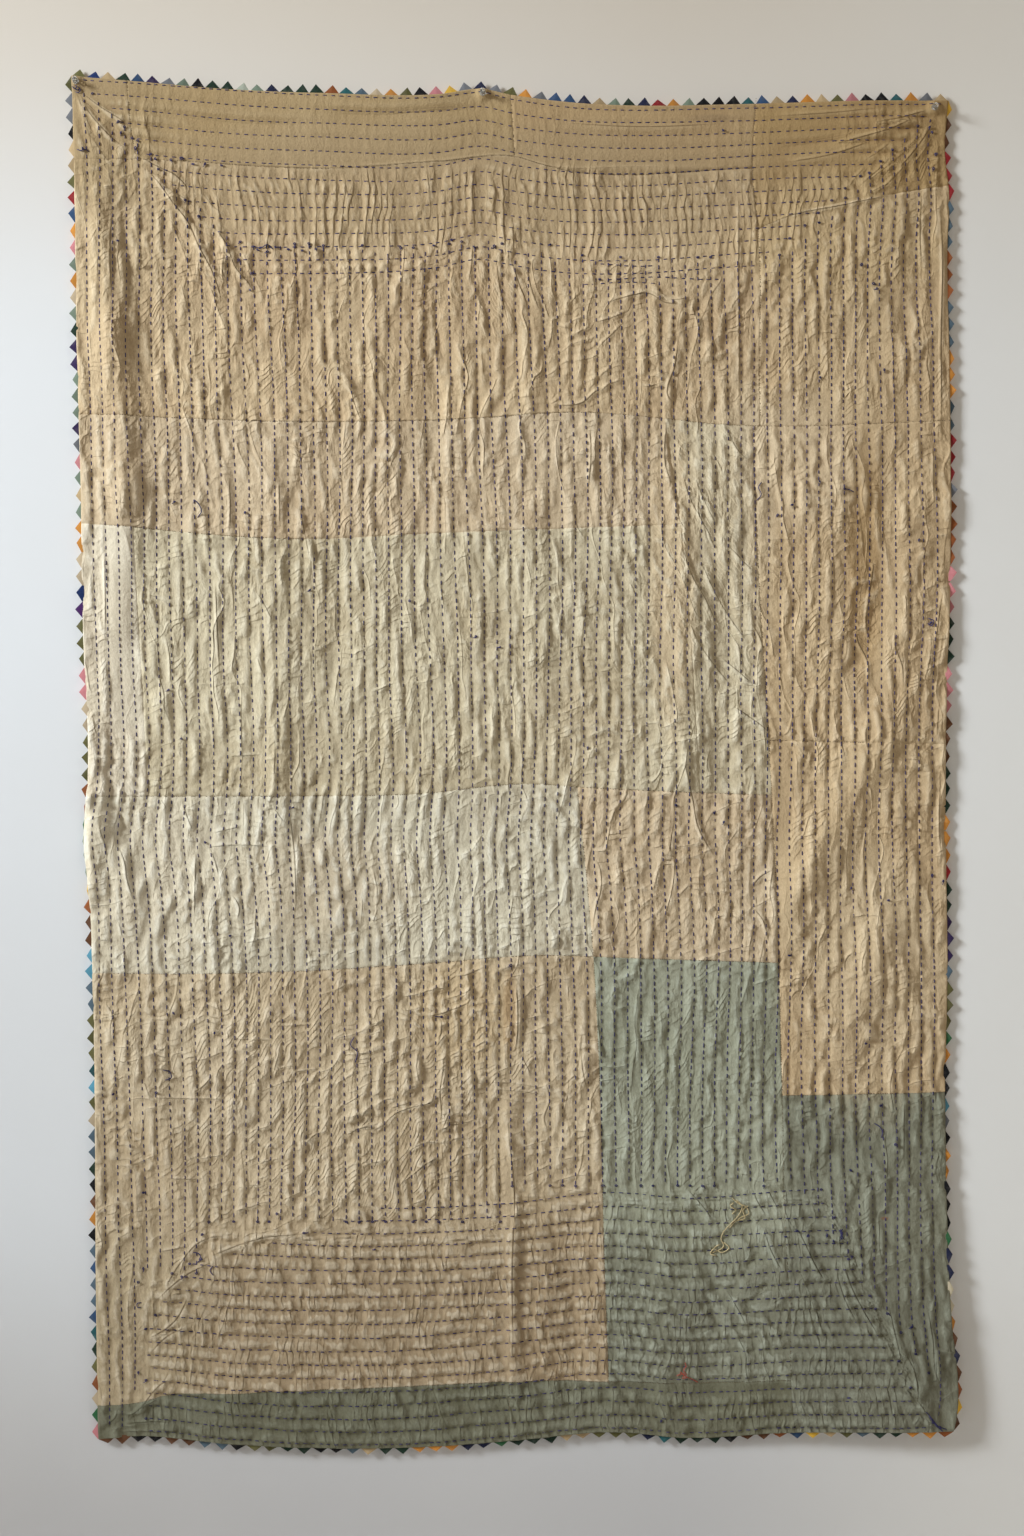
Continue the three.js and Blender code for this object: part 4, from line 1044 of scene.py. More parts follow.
def cotton(name, tone, worn_and_lit_tone, shade, stains_and_shade=()):
    """Old plain-woven cotton: stained, and patched with painted shade and light; paler on the rolls (wear
    and painted light); painted shade in the hollows and at the feet of creases.
    """
    finish = Finish(name)
    place = finish.place()
    row, gather_line, slant = finish.carried("rows")
    gathered, rib_line, ribbed = finish.carried("gathers")
    aside, crease, relief = finish.carried("creases")
    steep_line, steep, _ = finish.carried("steep_folds")
    level_line, level, _ = finish.carried("level_folds")

    # the gathers across a roll, and the ribs between two rows across the quilt
    column = row.sum("FLOOR", row)
    within = row - column - 0.5
    phase = column.sum("SINE", column * 2.3) * (COLUMN_SHIFT / GATHER_SPACING)
    line = gather_line + slant * within * (ROW_SPACING / GATHER_SPACING) + phase
    index = line.sum("FLOOR", line)
    chance = index * 1.7 + column * 2.9
    chance = chance.sum("FRACT", chance.sum("SINE", chance) * 43.7)
    shingle = line - index
    shingle = shingle * (1 - finish.between(shingle, 0.68, 1.0))
    arch = 1 - within * within * 3.4
    shingle = shingle * arch * gathered * (0.2 + chance * chance * 1.5)
    rib = rib_line.sum("FRACT", rib_line)
    rib = rib * (1 - finish.between(rib, 0.74, 1.0)) * ribbed
    crest = finish.ridge(aside, -4.5, -0.3, 0.0, 2.3) * crease
    # the foot of a crease's steep side, where a shadow line is painted
    foot = finish.ridge(aside, 0.0, 1.3, 1.3, 3.4) * crease
    steep_fold = finish.ridge(steep_line, -0.7, 0.0, 0.0, 0.26) * steep
    level_fold = finish.ridge(level_line, -0.7, 0.0, 0.0, 0.3) * level

    # the dye and its stains, patches of painted shade and light, rolls paler from wear and painted light,
    # and painted shade in the hollows and at the feet of creases and folds
    clouded, rubbed_and_painted_light, painted_hollow_shade, painted_crease_shadow, specked, threads = 0.6, 0.45, 0.38, 0.65, 0.16, 0.24
    cloud = finish.noise(place, 5.0, 4.0, 0.55)
    speck = finish.noise(place, 160.0, 3.0, 0.6)
    slub = finish.noise(finish.stretched(place, (1, 1, 0.12)), 1500.0, 2.0)
    colour = finish.blend(finish.between(cloud, 0.3, 0.72) * clouded, tone, shade)
    # stains, and patches of painted shade and light
    for patch_x, patch_drop, reach_across, reach_down, strength, patch_tone in stains_and_shade:
        centred = finish.node(
            "ShaderNodeMapping",
            {"vector_type": "TEXTURE"},
            {"Vector": place, "Location": (patch_x / 1000, 0, -patch_drop / 1000),
             "Scale": (reach_across / 1000, 1, reach_down / 1000)},
        )
        side, _, height = finish.split(centred)
        far = side * side + height * height + (cloud - 0.5) * min(1.6, reach_down / 14)
        colour = finish.blend(finish.between(far, 1.3, 0.15) * strength, colour, patch_tone)
    # paler on the rolls: partly wear, partly painted light
    colour = finish.blend(finish.between(relief, 0.1, 1.3) * rubbed_and_painted_light, colour, worn_and_lit_tone)
    # painted shade in the hollows between the rolls
    colour = finish.blend(finish.between(relief, 0.1, -1.5) * painted_hollow_shade, colour, shade)
    # painted shadow along the steep feet of the creases and folds
    foot = foot + finish.ridge(steep_line, 0.03, 0.14, 0.14, 0.5) * steep * 0.6
    foot = foot + finish.ridge(level_line, 0.03, 0.14, 0.14, 0.5) * level * 0.5
    deep = finish.between(foot, 0.2, 1.8) * painted_crease_shadow
    colour = finish.blend(deep, colour, [0.55 * part for part in shade])
    colour = finish.blend(finish.between(speck, 0.52, 0.72) * specked, colour, shade)
    fibre = finish.between(slub, 0.2, 0.8) * threads + 0.88
    fibre = finish.node("ShaderNodeCombineColor", {}, {0: fibre, 1: fibre, 2: fibre})
    colour = finish.blend(1.0, colour, fibre, "MULTIPLY")

    # the finest wrinkles, which flop over as the folds do
    grain = finish.stretched(place, (1.0, 1.0, 0.42), -0.15)
    first = finish.noise(grain, 95.0, 2.0, 0.55)
    flopped = finish.node("ShaderNodeCombineXYZ", {}, {0: first * -0.011, 2: first * 0.004})
    flopped = finish.node("ShaderNodeVectorMath", {"operation": "ADD"}, {0: grain, 1: flopped})
    crumple = finish.noise(flopped, 95.0, 2.0, 0.55)
    dimples = finish.noise(place, 280.0, 2.0, 0.6)
    fine = finish.noise(place, 900.0, 2.0, 0.6)
    sharp = shingle * 0.75 + rib * 0.8 + crest * 0.55 + steep_fold * 1.1 + level_fold * 0.8
    crumple = crumple * (gathered + ribbed * 0.6 + level * 0.35 + 0.25)
    bump = None
    for rise, depth in ((sharp, 0.001), (crumple, 0.0026), (dimples, 0.0007), (fine, 0.00022)):
        bump = finish.bump(rise, depth, over=bump)
    return finish, colour, bump


# ---------------------------------------------------------------- front cloth
# The front of the quilt and the old cloth stitched inside it. It faces the wall, so it is one
# plain sheet of brown cotton, dimpled by the same stitches and sewn to the reverse at its rim.

FRONT_SPACING = 7.4
FRONT_WIDTH = 1370  # across its middle
FRONT_FACE = 0.9  # how far it lies from the wall, past the quilt's own stand-off
FRONT_TURNED, FRONT_TURN_REACH = 1.3, 3.0
DIMPLE = 0.35  # share of the puckers that goes through to the front
NEAREST = 0.8  # to the wall
OUTLINE = (TOP_EDGE, RIGHT_EDGE, BOTTOM_EDGE, LEFT_EDGE)

u = lines_between(FRONT_WIDTH, FRONT_SPACING, "rim", "rim")
v = lines_between(QUILT_HEIGHT, FRONT_SPACING, "rim", "rim")
u, v = np.meshgrid(u, v)
x, drop = between(*OUTLINE, u, v)
rim = np.minimum(np.minimum(u, 1 - u) * FRONT_WIDTH, np.minimum(v, 1 - v) * QUILT_HEIGHT)
turned_in = FRONT_TURNED * turned_edge(rim, FRONT_TURN_REACH)
relief = read_net(pucker, x, drop)
out = stand_off(x, drop) + turned_in + FRONT_FACE - DIMPLE * np.clip(relief, -1, 3)
out = np.maximum(out, NEAREST)
front = cloth_mesh("front_sheet", x, drop, out, room_side=False)
finish, colour, bump = cotton("front_cotton", (0.40, 0.30, 0.20), (0.47, 0.37, 0.26), (0.31, 0.22, 0.14))
matt = {"Base Color": colour, "Roughness": 0.92, "Specular IOR Level": 0.15, "Normal": bump}
front.data.materials.append(finish.shine(matt))
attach(front, "root")
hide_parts("front_cloth")

# ---------------------------------------------------------------- pieced reverse
# Twenty-one panels of old plain cotton in tan, cream, pale sage, pinkish tan and green. They are
# sewn edge to edge, each edge turned under, so that every seam is a fine dark line.

ACROSS = {  # x, drop
    "topEdge": TOP_EDGE,
    "underTopStrips": [
        (-720, 104), (-583, 104), (-288, 118), (-114, 107), (12, 101), (47, 112), (400, 118)],
    "underTopRight": [(350, 232), (378, 218), (428, 196), (602, 158), (720, 138)],
    "underField": [
        (-720, 504), (-651, 506), (-303, 517), (-73, 512), (96, 502), (370, 523), (720, 513)],
    "underBand": [(-720, 674), (-596, 683), (-479, 694), (-360, 701), (-114, 692), (300, 677)],
    "middle": [
        (-720, 1106), (-335, 1106), (-152, 1103), (28, 1087), (123, 1093), (297, 1101), (430, 1105)],
    "rightMiddle": [(380, 1018), (720, 1025)],
    "underScrap": [(620, 1122), (720, 1122)],
    "low": [
        (-720, 1384), (-493, 1386), (-335, 1382), (-152, 1371), (76, 1357), (126, 1359), (440, 1369)],
    "overGreen": [(400, 1578), (720, 1572)],
    "overHem": [
        (-720, 2064), (-585, 2060), (-553, 2051), (-430, 2046), (-177, 2035), (0, 2027), (152, 2027),
        (297, 2030), (460, 2022)],
    "bottomEdge": BOTTOM_EDGE,
}
DOWN = {  # drop, x
    "leftEdge": LEFT_EDGE,
    "corner": [(-60, -611), (-21, -607), (77, -596), (130, -585)],
    "topMiddle": [(-30, -4), (130, 6)],
    "upperRight": [(-20, 386), (103, 379), (134, 379), (210, 387), (479, 390), (560, 392)],
    "tallLeft": [(480, 236), (678, 265), (1130, 299)],
    "long": [
        (490, 378), (732, 387), (1016, 404), (1368, 420), (1574, 425), (1814, 431), (1926, 438),
        (2018, 438), (2160, 451)],
    "leftStrip": [(660, -597), (1130, -571)],
    "middle": [(1070, 101), (1359, 128), (1585, 139), (1822, 145), (2050, 153)],
    "rightStrip": [(1000, 638), (1269, 641), (1600, 647)],
    "hem": [(2000, -5), (2160, -3)],
    "rightEdge": RIGHT_EDGE,
}
# Stains, and broad patches of painted shade and light where marked.
STAINS_AND_PAINTED_SHADE = [  # x, drop, reach across, reach down, how strong, colour
    (-572, 275, 9, 5, 1.0, (0.11, 0.065, 0.03)),
    (-75, 1450, 85, 95, 0.5, (0.48, 0.35, 0.19)),
    (-3, 1445, 13, 75, 0.6, (0.36, 0.23, 0.11)),
    (264, 1945, 14, 46, 0.35, (0.12, 0.11, 0.07)),
    (586, 1770, 7, 3, 0.6, (0.30, 0.12, 0.06)),
    (316, 39, 42, 7, 0.3, (0.22, 0.16, 0.10)),
    (252, 740, 44, 280, 0.8, (0.56, 0.44, 0.28)),
    (392, 700, 24, 260, 0.6, (0.56, 0.44, 0.28)),
    (345, 640, 80, 220, 0.4, (0.61, 0.51, 0.35)),
    (560, 1400, 150, 220, 0.5, (0.56, 0.455, 0.30)),
    (-300, 1250, 160, 110, 0.3, (0.60, 0.47, 0.32)),
    (100, 1000, 120, 120, 0.3, (0.56, 0.46, 0.31)),
    (520, 340, 90, 60, 0.25, (0.42, 0.32, 0.18)),
    # painted shade: the right tan cloth darker near its top
    (540, 235, 230, 90, 0.7, (0.475, 0.355, 0.195)),
    # painted shade in a broad hollow on the right
    (556, 740, 36, 200, 0.65, (0.41, 0.27, 0.125)),
    # painted shade: the top of the field darker
    (-120, 140, 640, 105, 0.8, (0.395, 0.295, 0.17)),
    (-655, 45, 120, 140, 0.9, (0.335, 0.245, 0.13)),
    (-620, 230, 130, 160, 0.35, (0.42, 0.33, 0.20)),
    (440, 590, 110, 120, 0.5, (0.66, 0.54, 0.37)),
    # painted light: the olive strip lighter near its foot
    (480, 165, 120, 40, 0.5, (0.50, 0.38, 0.22)),
]
OWN_STAINS_AND_PAINTED_SHADE = {
    "low_cream": [
        # painted shade and light: darker towards the bottom and in the lower left corner, lighter higher up
        (-150, 1965, 500, 210, 0.95, (0.335, 0.255, 0.16)),
        (80, 1900, 110, 190, 0.8, (0.345, 0.26, 0.16)),
        (-600, 1960, 130, 190, 0.4, (0.36, 0.30, 0.19)),
        (-480, 1560, 160, 110, 0.3, (0.64, 0.55, 0.40)),
    ],
    "cool_sage": [(-610, 1240, 200, 180, 0.7, (0.67, 0.60, 0.455))],
    # painted shade: the green cloths darker towards the bottom
    "green": [(290, 1960, 280, 190, 0.95, (0.195, 0.195, 0.142))],
    "dark_green": [(560, 1980, 240, 170, 0.8, (0.17, 0.17, 0.125))],
}
CLOTHS = {  # record slot, tone, tone of the rolls where worn and where painted light falls, shade
    "brown_tan": ("tan_cotton", (0.455, 0.33, 0.178), (0.54, 0.42, 0.26), (0.34, 0.23, 0.12)),
    "yellow_tan": ("tan_cotton", (0.425, 0.315, 0.17), (0.56, 0.44, 0.27), (0.35, 0.245, 0.12)),
    "olive_tan": ("tan_cotton", (0.41, 0.285, 0.134), (0.51, 0.38, 0.21), (0.31, 0.20, 0.095)),
    "field_tan": ("tan_cotton", (0.54, 0.42, 0.262), (0.67, 0.56, 0.39), (0.40, 0.28, 0.16)),
    "right_tan": ("tan_cotton", (0.56, 0.43, 0.262), (0.67, 0.555, 0.385), (0.405, 0.285, 0.16)),
    "pink_tan": ("pink_tan_cotton", (0.58, 0.47, 0.32), (0.69, 0.60, 0.45), (0.42, 0.31, 0.185)),
    "pale_sage": ("sage_cotton", (0.575, 0.51, 0.36), (0.70, 0.65, 0.51), (0.41, 0.33, 0.205)),
    "cool_sage": ("sage_cotton", (0.62, 0.575, 0.44), (0.75, 0.73, 0.63), (0.45, 0.385, 0.27)),
    "cream": ("cream_cotton", (0.70, 0.64, 0.505), (0.79, 0.75, 0.64), (0.53, 0.44, 0.31)),
    "low_cream": ("cream_cotton", (0.56, 0.46, 0.31), (0.68, 0.60, 0.46), (0.39, 0.295, 0.18)),
    "green": ("green_cotton", (0.345, 0.355, 0.27), (0.43, 0.46, 0.38), (0.225, 0.23, 0.16)),
    "hem_green": ("green_cotton", (0.185, 0.185, 0.13), (0.26, 0.27, 0.205), (0.12, 0.115, 0.07)),
    "dark_green": ("green_cotton", (0.235, 0.24, 0.18), (0.32, 0.34, 0.27), (0.155, 0.15, 0.10)),
}
PANELS = [  # name, top seam, right seam, bottom seam, left seam, cloth
    ("back_top_corner", "topEdge", "corner", "underTopStrips", "leftEdge", "field_tan"),
    ("back_top_strip_left", "topEdge", "topMiddle", "underTopStrips", "corner", "yellow_tan"),
    ("back_top_strip_middle", "topEdge", "upperRight", "underTopStrips", "topMiddle", "brown_tan"),
    ("back_top_strip_right", "topEdge", "rightEdge", "underTopRight", "upperRight", "olive_tan"),
    ("back_field", "underTopStrips", "upperRight", "underField", "leftEdge", "field_tan"),
    ("back_field_right", "underTopRight", "rightEdge", "underField", "upperRight", "right_tan"),
    ("back_band", "underField", "tallLeft", "underBand", "leftEdge", "pink_tan"),
    ("back_sage_tall", "underField", "long", "middle", "tallLeft", "pale_sage"),
    ("back_left_strip", "underBand", "leftStrip", "middle", "leftEdge", "cream"),
    ("back_sage_upper", "underBand", "tallLeft", "middle", "leftStrip", "pale_sage"),
    ("back_sage_lower", "middle", "middle", "low", "leftEdge", "cool_sage"),
    ("back_pink", "middle", "long", "low", "middle", "pink_tan"),
    ("back_right_upper", "underField", "rightEdge", "rightMiddle", "long", "right_tan"),
    ("back_right_lower", "rightMiddle", "rightStrip", "overGreen", "long", "right_tan"),
    ("back_right_scrap", "rightMiddle", "rightEdge", "underScrap", "rightStrip", "right_tan"),
    ("back_right_strip", "underScrap", "rightEdge", "overGreen", "rightStrip", "right_tan"),
    ("back_lower_left", "low", "middle", "overHem", "leftEdge", "low_cream"),
    ("back_green_left", "low", "long", "overHem", "middle", "green"),
    ("back_green_right", "overGreen", "rightEdge", "bottomEdge", "long", "dark_green"),
    ("back_hem_left", "overHem", "hem", "bottomEdge", "leftEdge", "hem_green"),
    ("back_hem_right", "overHem", "long", "bottomEdge", "hem", "hem_green"),
]
PANEL_SPACING = 3.2
TURNED_UNDER = 4  # at each edge of a panel
SEAM_DEPTH, SEAM_REACH = 0.8, 2.2
RIM_DEPTH, RIM_REACH = 1.6, 3.4

cloths = {}
for name, (slot, *tones) in CLOTHS.items():
    finish, colour, bump = cotton(name, *tones, STAINS_AND_PAINTED_SHADE + OWN_STAINS_AND_PAINTED_SHADE.get(name, []))
    matt = {"Base Color": colour, "Roughness": 0.9, "Specular IOR Level": 0.15, "Normal": bump}
    cloths[name] = finish.shine(matt)

for name, top, right, bottom, left, cloth in PANELS:
    lines = (ACROSS[top], DOWN[right], ACROSS[bottom], DOWN[left])
    edges = ["rim" if "Edge" in side else "seam" for side in (top, right, bottom, left)]
    middles = between(*lines, np.array([0, 0.5, 1, 0.5]), np.array([0.5, 0, 0.5, 1]))
    width, height = middles[0][2] - middles[0][0], middles[1][3] - middles[1][1]
    u = lines_between(width, PANEL_SPACING, edges[3], edges[1])
    v = lines_between(height, PANEL_SPACING, edges[0], edges[2])
    u, v = np.meshgrid(u, v)
    x, drop = between(*lines, u, v)
    relief = -read_net(hollows, x, drop)
    out = cloth_face(x, drop)
    for edge, away in zip(edges, (v * height, (1 - u) * width, (1 - v) * height, u * width)):
        if edge == "seam":
            out = out - SEAM_DEPTH * (1 - soft(away / SEAM_REACH))
        else:
            out = out - (RIM_DEPTH + 0.5 * np.clip(relief, -1, 2)) * turned_edge(away, RIM_REACH)
    panel = cloth_mesh(name + "_cloth", x, drop, out)
    panel.data.materials.append(cloths[cloth])
    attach(panel, "root")
    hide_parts(name)
    flat = [(side + 2 * TURNED_UNDER) / 1000 for side in (width, height)]

# ---------------------------------------------------------------- running stitch
# Dark blue cotton thread, sewn by hand through all the layers. Each stitch shows for about 7 mm,
# its ends drawn down into the cloth.

THREAD_HALF_WIDTH = 0.88


def stitch_points(stitches, half_width, deep):
    """The eight points of each stitch: its start, three, three more, and its end."""
    start, finish_at = stitches[:, 0:2], stitches[:, 2:4]
    run = finish_at - start
    run = run / np.linalg.norm(run, axis=1)[:, None]
    side = np.stack([-run[:, 1], run[:, 0]], axis=1)
    rings = []
    for t, rise in ((0.0, -0.2), (0.13, 0.5), (0.87, 0.5), (1.0, -0.2)):
        centre = start * (1 - t) + finish_at * t
        level = cloth_face(centre[:, 0], centre[:, 1]) + rise - deep
        if t in (0.0, 1.0):
            rings.append([np.column_stack([centre, level])])
            continue
        ring = []
        for sideways, up in ((1, -0.5), (0, 0.75), (-1, -0.5)):
            ring.append(np.column_stack([centre + side * sideways * half_width, level + up * half_width]))
        rings.append(ring)
    return np.stack([p for ring in rings for p in ring], axis=1)


STITCH_FACES = [
    (0, 2, 1), (0, 3, 2), (0, 1, 3), (1, 2, 5), (1, 5, 4), (2, 3, 6), (2, 6, 5), (3, 1, 4), (3, 4, 6),
    (7, 4, 5), (7, 5, 6), (7, 6, 4),
]


def thread_mesh(name, points):
    """All stitches as one mesh: points is stitch by point by (x, drop, out)."""
    count, each = points.shape[:2]
    places = np.stack([points[..., 0], -points[..., 2], -points[..., 1]], axis=-1).reshape(-1, 3) / 1000
    faces = (np.array(STITCH_FACES)[None] + (np.arange(count) * each)[:, None, None]).reshape(-1, 3)
    mesh = bpy.data.meshes.new(name)
    mesh.from_pydata(places.tolist(), [], faces.tolist())
    mesh.update()
    mesh.shade_smooth()
    return put_in(name, mesh)


thread = Finish("thread")
place = thread.place()
ply = thread.noise(place, 1400.0, 2.0)
faded = thread.between(thread.noise(place, 9.0, 3.0), 0.4, 0.65)
tone = thread.blend(faded, (0.027, 0.027, 0.095), (0.065, 0.052, 0.13))
tone = thread.blend(thread.between(ply, 0.4, 0.7) * 0.5, tone, (0.10, 0.10, 0.22))
thread.shine({"Base Color": tone, "Roughness": 0.85, "Specular IOR Level": 0.2})
stitching = thread_mesh("running_stitch", stitch_points(stitches, THREAD_HALF_WIDTH, 0.0))
stitching.data.materials.append(thread.material)
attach(stitching, "root")

# The panels are joined with tiny overcast stitches in a dull brown thread.
SEAM_PITCH = 3.6
SEAM_HIDDEN = 0.35  # share of the stitches that are sunk in the seam
SEAM_THREAD_HALF_WIDTH, SEAM_THREAD_DEEP = 0.45, 0.55
SEAM_STRAYS, SEAM_REACHES = 0.9, (1.4, 2.6)  # along the seam: where a stitch starts, and its length
SEAM_BEHIND, SEAM_BEFORE = (-0.5, 0.3), (-0.3, 0.7)  # across it: where it starts, and where it ends
SEAMS_ACROSS = [  # seam, from x, to x
    ("underTopStrips", -650, 378), ("underTopRight", 378, 470), ("underField", -655, 692),
    ("underBand", -640, -330), ("middle", -645, 425), ("low", -628, 422), ("overGreen", 428, 690),
    ("overHem", -608, 448), ("rightMiddle", 406, 560),
]
SEAMS_DOWN = [  # seam, from drop, to drop
    ("corner", -20, 102), ("topMiddle", 6, 104), ("upperRight", 8, 512), ("long", 530, 2030),
    ("middle", 1106, 2030), ("hem", 2032, 2110),
]
seam_hand = np.random.default_rng(31)
seam_stitches = []
sewn = [(ACROSS[seam], *ends, False) for seam, *ends in SEAMS_ACROSS]
sewn += [(DOWN[seam], *ends, True) for seam, *ends in SEAMS_DOWN]
for line, begin, end, going_down in sewn:
    at = np.arange(begin, end, SEAM_PITCH)
    at = at[seam_hand.uniform(0, 1, len(at)) > SEAM_HIDDEN]
    at = at + seam_hand.uniform(-SEAM_STRAYS, SEAM_STRAYS, len(at))
    to = at + seam_hand.uniform(*SEAM_REACHES, len(at))
    off = curve(line, at) + seam_hand.uniform(*SEAM_BEHIND, len(at))
    off_to = curve(line, to) + seam_hand.uniform(*SEAM_BEFORE, len(at))
    seam_stitches.append(np.column_stack([off, at, off_to, to] if going_down else [at, off, to, off_to]))
seam_thread = Finish("seam_thread")
soiled = seam_thread.between(seam_thread.noise(seam_thread.place(), 14.0, 3.0), 0.4, 0.62)
tone = seam_thread.blend(soiled, (0.13, 0.095, 0.06), (0.30, 0.23, 0.15))
seam_thread.shine({"Base Color": tone, "Roughness": 0.9, "Specular IOR Level": 0.15})
points = stitch_points(np.concatenate(seam_stitches), SEAM_THREAD_HALF_WIDTH, SEAM_THREAD_DEEP)
seam_sewing = thread_mesh("seam_stitches", points)
seam_sewing.data.materials.append(seam_thread.material)
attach(seam_sewing, "root")

# Knots where a thread starts or ends, its loose ends, and loops that were never pulled tight.
KNOTS = [  # x, drop, size
    (-675, 88, 3.4), (-615, 63, 2.4), (-592, 87, 2.6), (-561, 104, 3.0), (-536, 106, 3.0),
    (-520, 103, 3.2), (-502, 112, 3.0), (-483, 112, 2.8), (-457, 114, 2.4), (-619, 234, 2.6),
    (-412, 310, 2.2), (-531, 643, 2.4), (-420, 660, 2.0), (-318, 782, 2.4), (-540, 939, 2.8),
    (-520, 1016, 2.0), (-161, 799, 2.4), (-57, 855, 2.4), (-19, 872, 2.0), (332, 59, 2.6),
    (550, 270, 2.6), (569, 300, 2.8), (574, 308, 2.4), (485, 447, 2.2), (586, 435, 2.0),
    (484, 611, 2.4), (523, 623, 2.4), (441, 648, 2.6), (418, 664, 2.6), (641, 703, 2.4),
    (660, 833, 2.8), (619, 1139, 2.4), (662, 1231, 2.8), (679, 1240, 2.4), (534, 1251, 2.2),
    (592, 1270, 2.4), (436, 1357, 2.2), (-344, 1124, 2.0), (-483, 1179, 2.2), (-444, 1326, 2.0),
    (-532, 1447, 2.2), (-468, 1479, 2.2), (119, 1030, 2.0), (258, 1120, 2.2), (318, 1133, 2.4),
    (333, 1147, 2.0), (-559, 1572, 2.4), (-627, 1575, 2.0), (-2, 1373, 3.0), (556, 1495, 2.4),
    (580, 1593, 2.4), (602, 1653, 2.4), (532, 1694, 2.4), (-580, 1730, 2.6), (-370, 1763, 2.4),
    (447, 1789, 2.6), (465, 1796, 3.0), (430, 1798, 2.4), (495, 1796, 3.4), (518, 1793, 3.8),
    (517, 1798, 3.0), (-487, 1795, 2.6), (-490, 1834, 3.0), (-216, 1819, 2.2), (-580, 1850, 2.6),
    (-588, 1871, 2.4), (-588, 2013, 2.2), (627, 1939, 2.8), (235, 2089, 2.4), (528, 2049, 2.4),
    (672, 2096, 3.4), (660, 2088, 2.4), (505, 1805, 3.0), (-400, 247, 2.4), (-385, 250, 2.6),
    (-372, 243, 2.2), (-352, 246, 2.6), (-330, 248, 2.4), (-308, 246, 2.2), (-95, 231, 2.6),
    (-60, 242, 2.4), (-28, 241, 2.8), (60, 238, 2.2), (-123, 240, 2.2), (662, 60, 2.6), (668, 95, 2.8),
    (664, 118, 2.4), (658, 52, 2.2),
]
LOOPS = [  # places as x, drop, x, drop
    (-500, 640, -492, 648, -488, 659, -495, 668),
    (393, 612, 388, 620, 392, 632, 385, 641),
    (523, 623, 530, 624, 538, 628),
    (656, 826, 664, 830, 661, 838, 655, 834),
    (-248, 1485, -254, 1497, -243, 1510, -247, 1526),
    (-548, 1537, -538, 1540, -536, 1549, -545, 1553),
    (570, 1621, 579, 1627, 583, 1636, 581, 1644),
    (-583, 1903, -590, 1905, -589, 1911, -583, 1910),
    (654, 2078, 664, 2092, 676, 2103),
    (648, 2070, 660, 2084, 668, 2094, 682, 2100),
    (519, 1786, 516, 1792, 519, 1799, 515, 1803),
    (-502, 1824, -493, 1826, -489, 1834, -495, 1840),
    (-470, 1845, -475, 1852, -469, 1859),
    (-408, 240, -396, 244, -384, 239, -376, 246),
    (-685, 88, -678, 91, -671, 89, -665, 92),
    (-693, -12, -689, -8, -685, -11, -688, -13),
    (-690, -9, -685, -6, -681, -8),
    (-684, -11, -680, -7, -683, -2, -688, -4),
]
KNOT_POINTS, END_POINTS = 11, 8
KNOTTED_ENDS = 0.45  # share of the rows' ends that show a knot
KNOT_THREAD_RADIUS = 0.75
KNOT_TURNS, KNOT_SQUASH, KNOT_TAIL = (1.5, 2.3), (0.35, 0.9), (1.5, 4.5)
END_TURNS, END_SIZE, END_TAIL = 1.3, (2.0, 1.3), 3.5  # of a knot at a row's end
knot_hand = np.random.default_rng(23)
strands = []  # places, and how far each stands out of the cloth
for x, drop, size in KNOTS:
    turns = np.linspace(0, 2 * np.pi * knot_hand.uniform(*KNOT_TURNS), KNOT_POINTS)
    wide = size * knot_hand.uniform(0.5, 1.0, KNOT_POINTS)
    squash, turned = knot_hand.uniform(*KNOT_SQUASH), knot_hand.uniform(0, np.pi)
    a, b = wide * np.cos(turns), wide * squash * np.sin(turns)
    a[-1] += knot_hand.uniform(*KNOT_TAIL)
    places = [x + a * np.cos(turned) - b * np.sin(turned), drop + a * np.sin(turned) + b * np.cos(turned)]
    strands.append((np.column_stack(places), 0.4 + 1.5 * np.sin(np.linspace(0, np.pi, KNOT_POINTS))))
for x, drop in sewn_rows:
    for end in (0, -1):
        if knot_hand.uniform() < KNOTTED_ENDS:
            turns = np.linspace(0, 2 * np.pi * END_TURNS, END_POINTS) + end
            places = [x[end] + END_SIZE[0] * np.cos(turns), drop[end] + END_SIZE[1] * np.sin(turns)]
            places = np.column_stack(places)
            places[-1] += knot_hand.uniform(-END_TAIL, END_TAIL, 2)
            strands.append((places, np.full(END_POINTS, 0.8)))
for line in LOOPS:
    _, places = smooth_path(line, 2.2)
    strands.append((places, 0.3 + 1.2 * np.sin(np.linspace(0, np.pi, len(places)))))


def face_outwards(piece):
    """Turns every face of a piece outwards."""
    bpy.ops.object.select_all(action="DESELECT")
    piece.select_set(True)
    bpy.context.view_layer.objects.active = piece
    bpy.ops.object.mode_set(mode="EDIT")
    bpy.ops.mesh.select_all(action="SELECT")
    bpy.ops.mesh.normals_make_consistent(inside=False)
    bpy.ops.object.mode_set(mode="OBJECT")


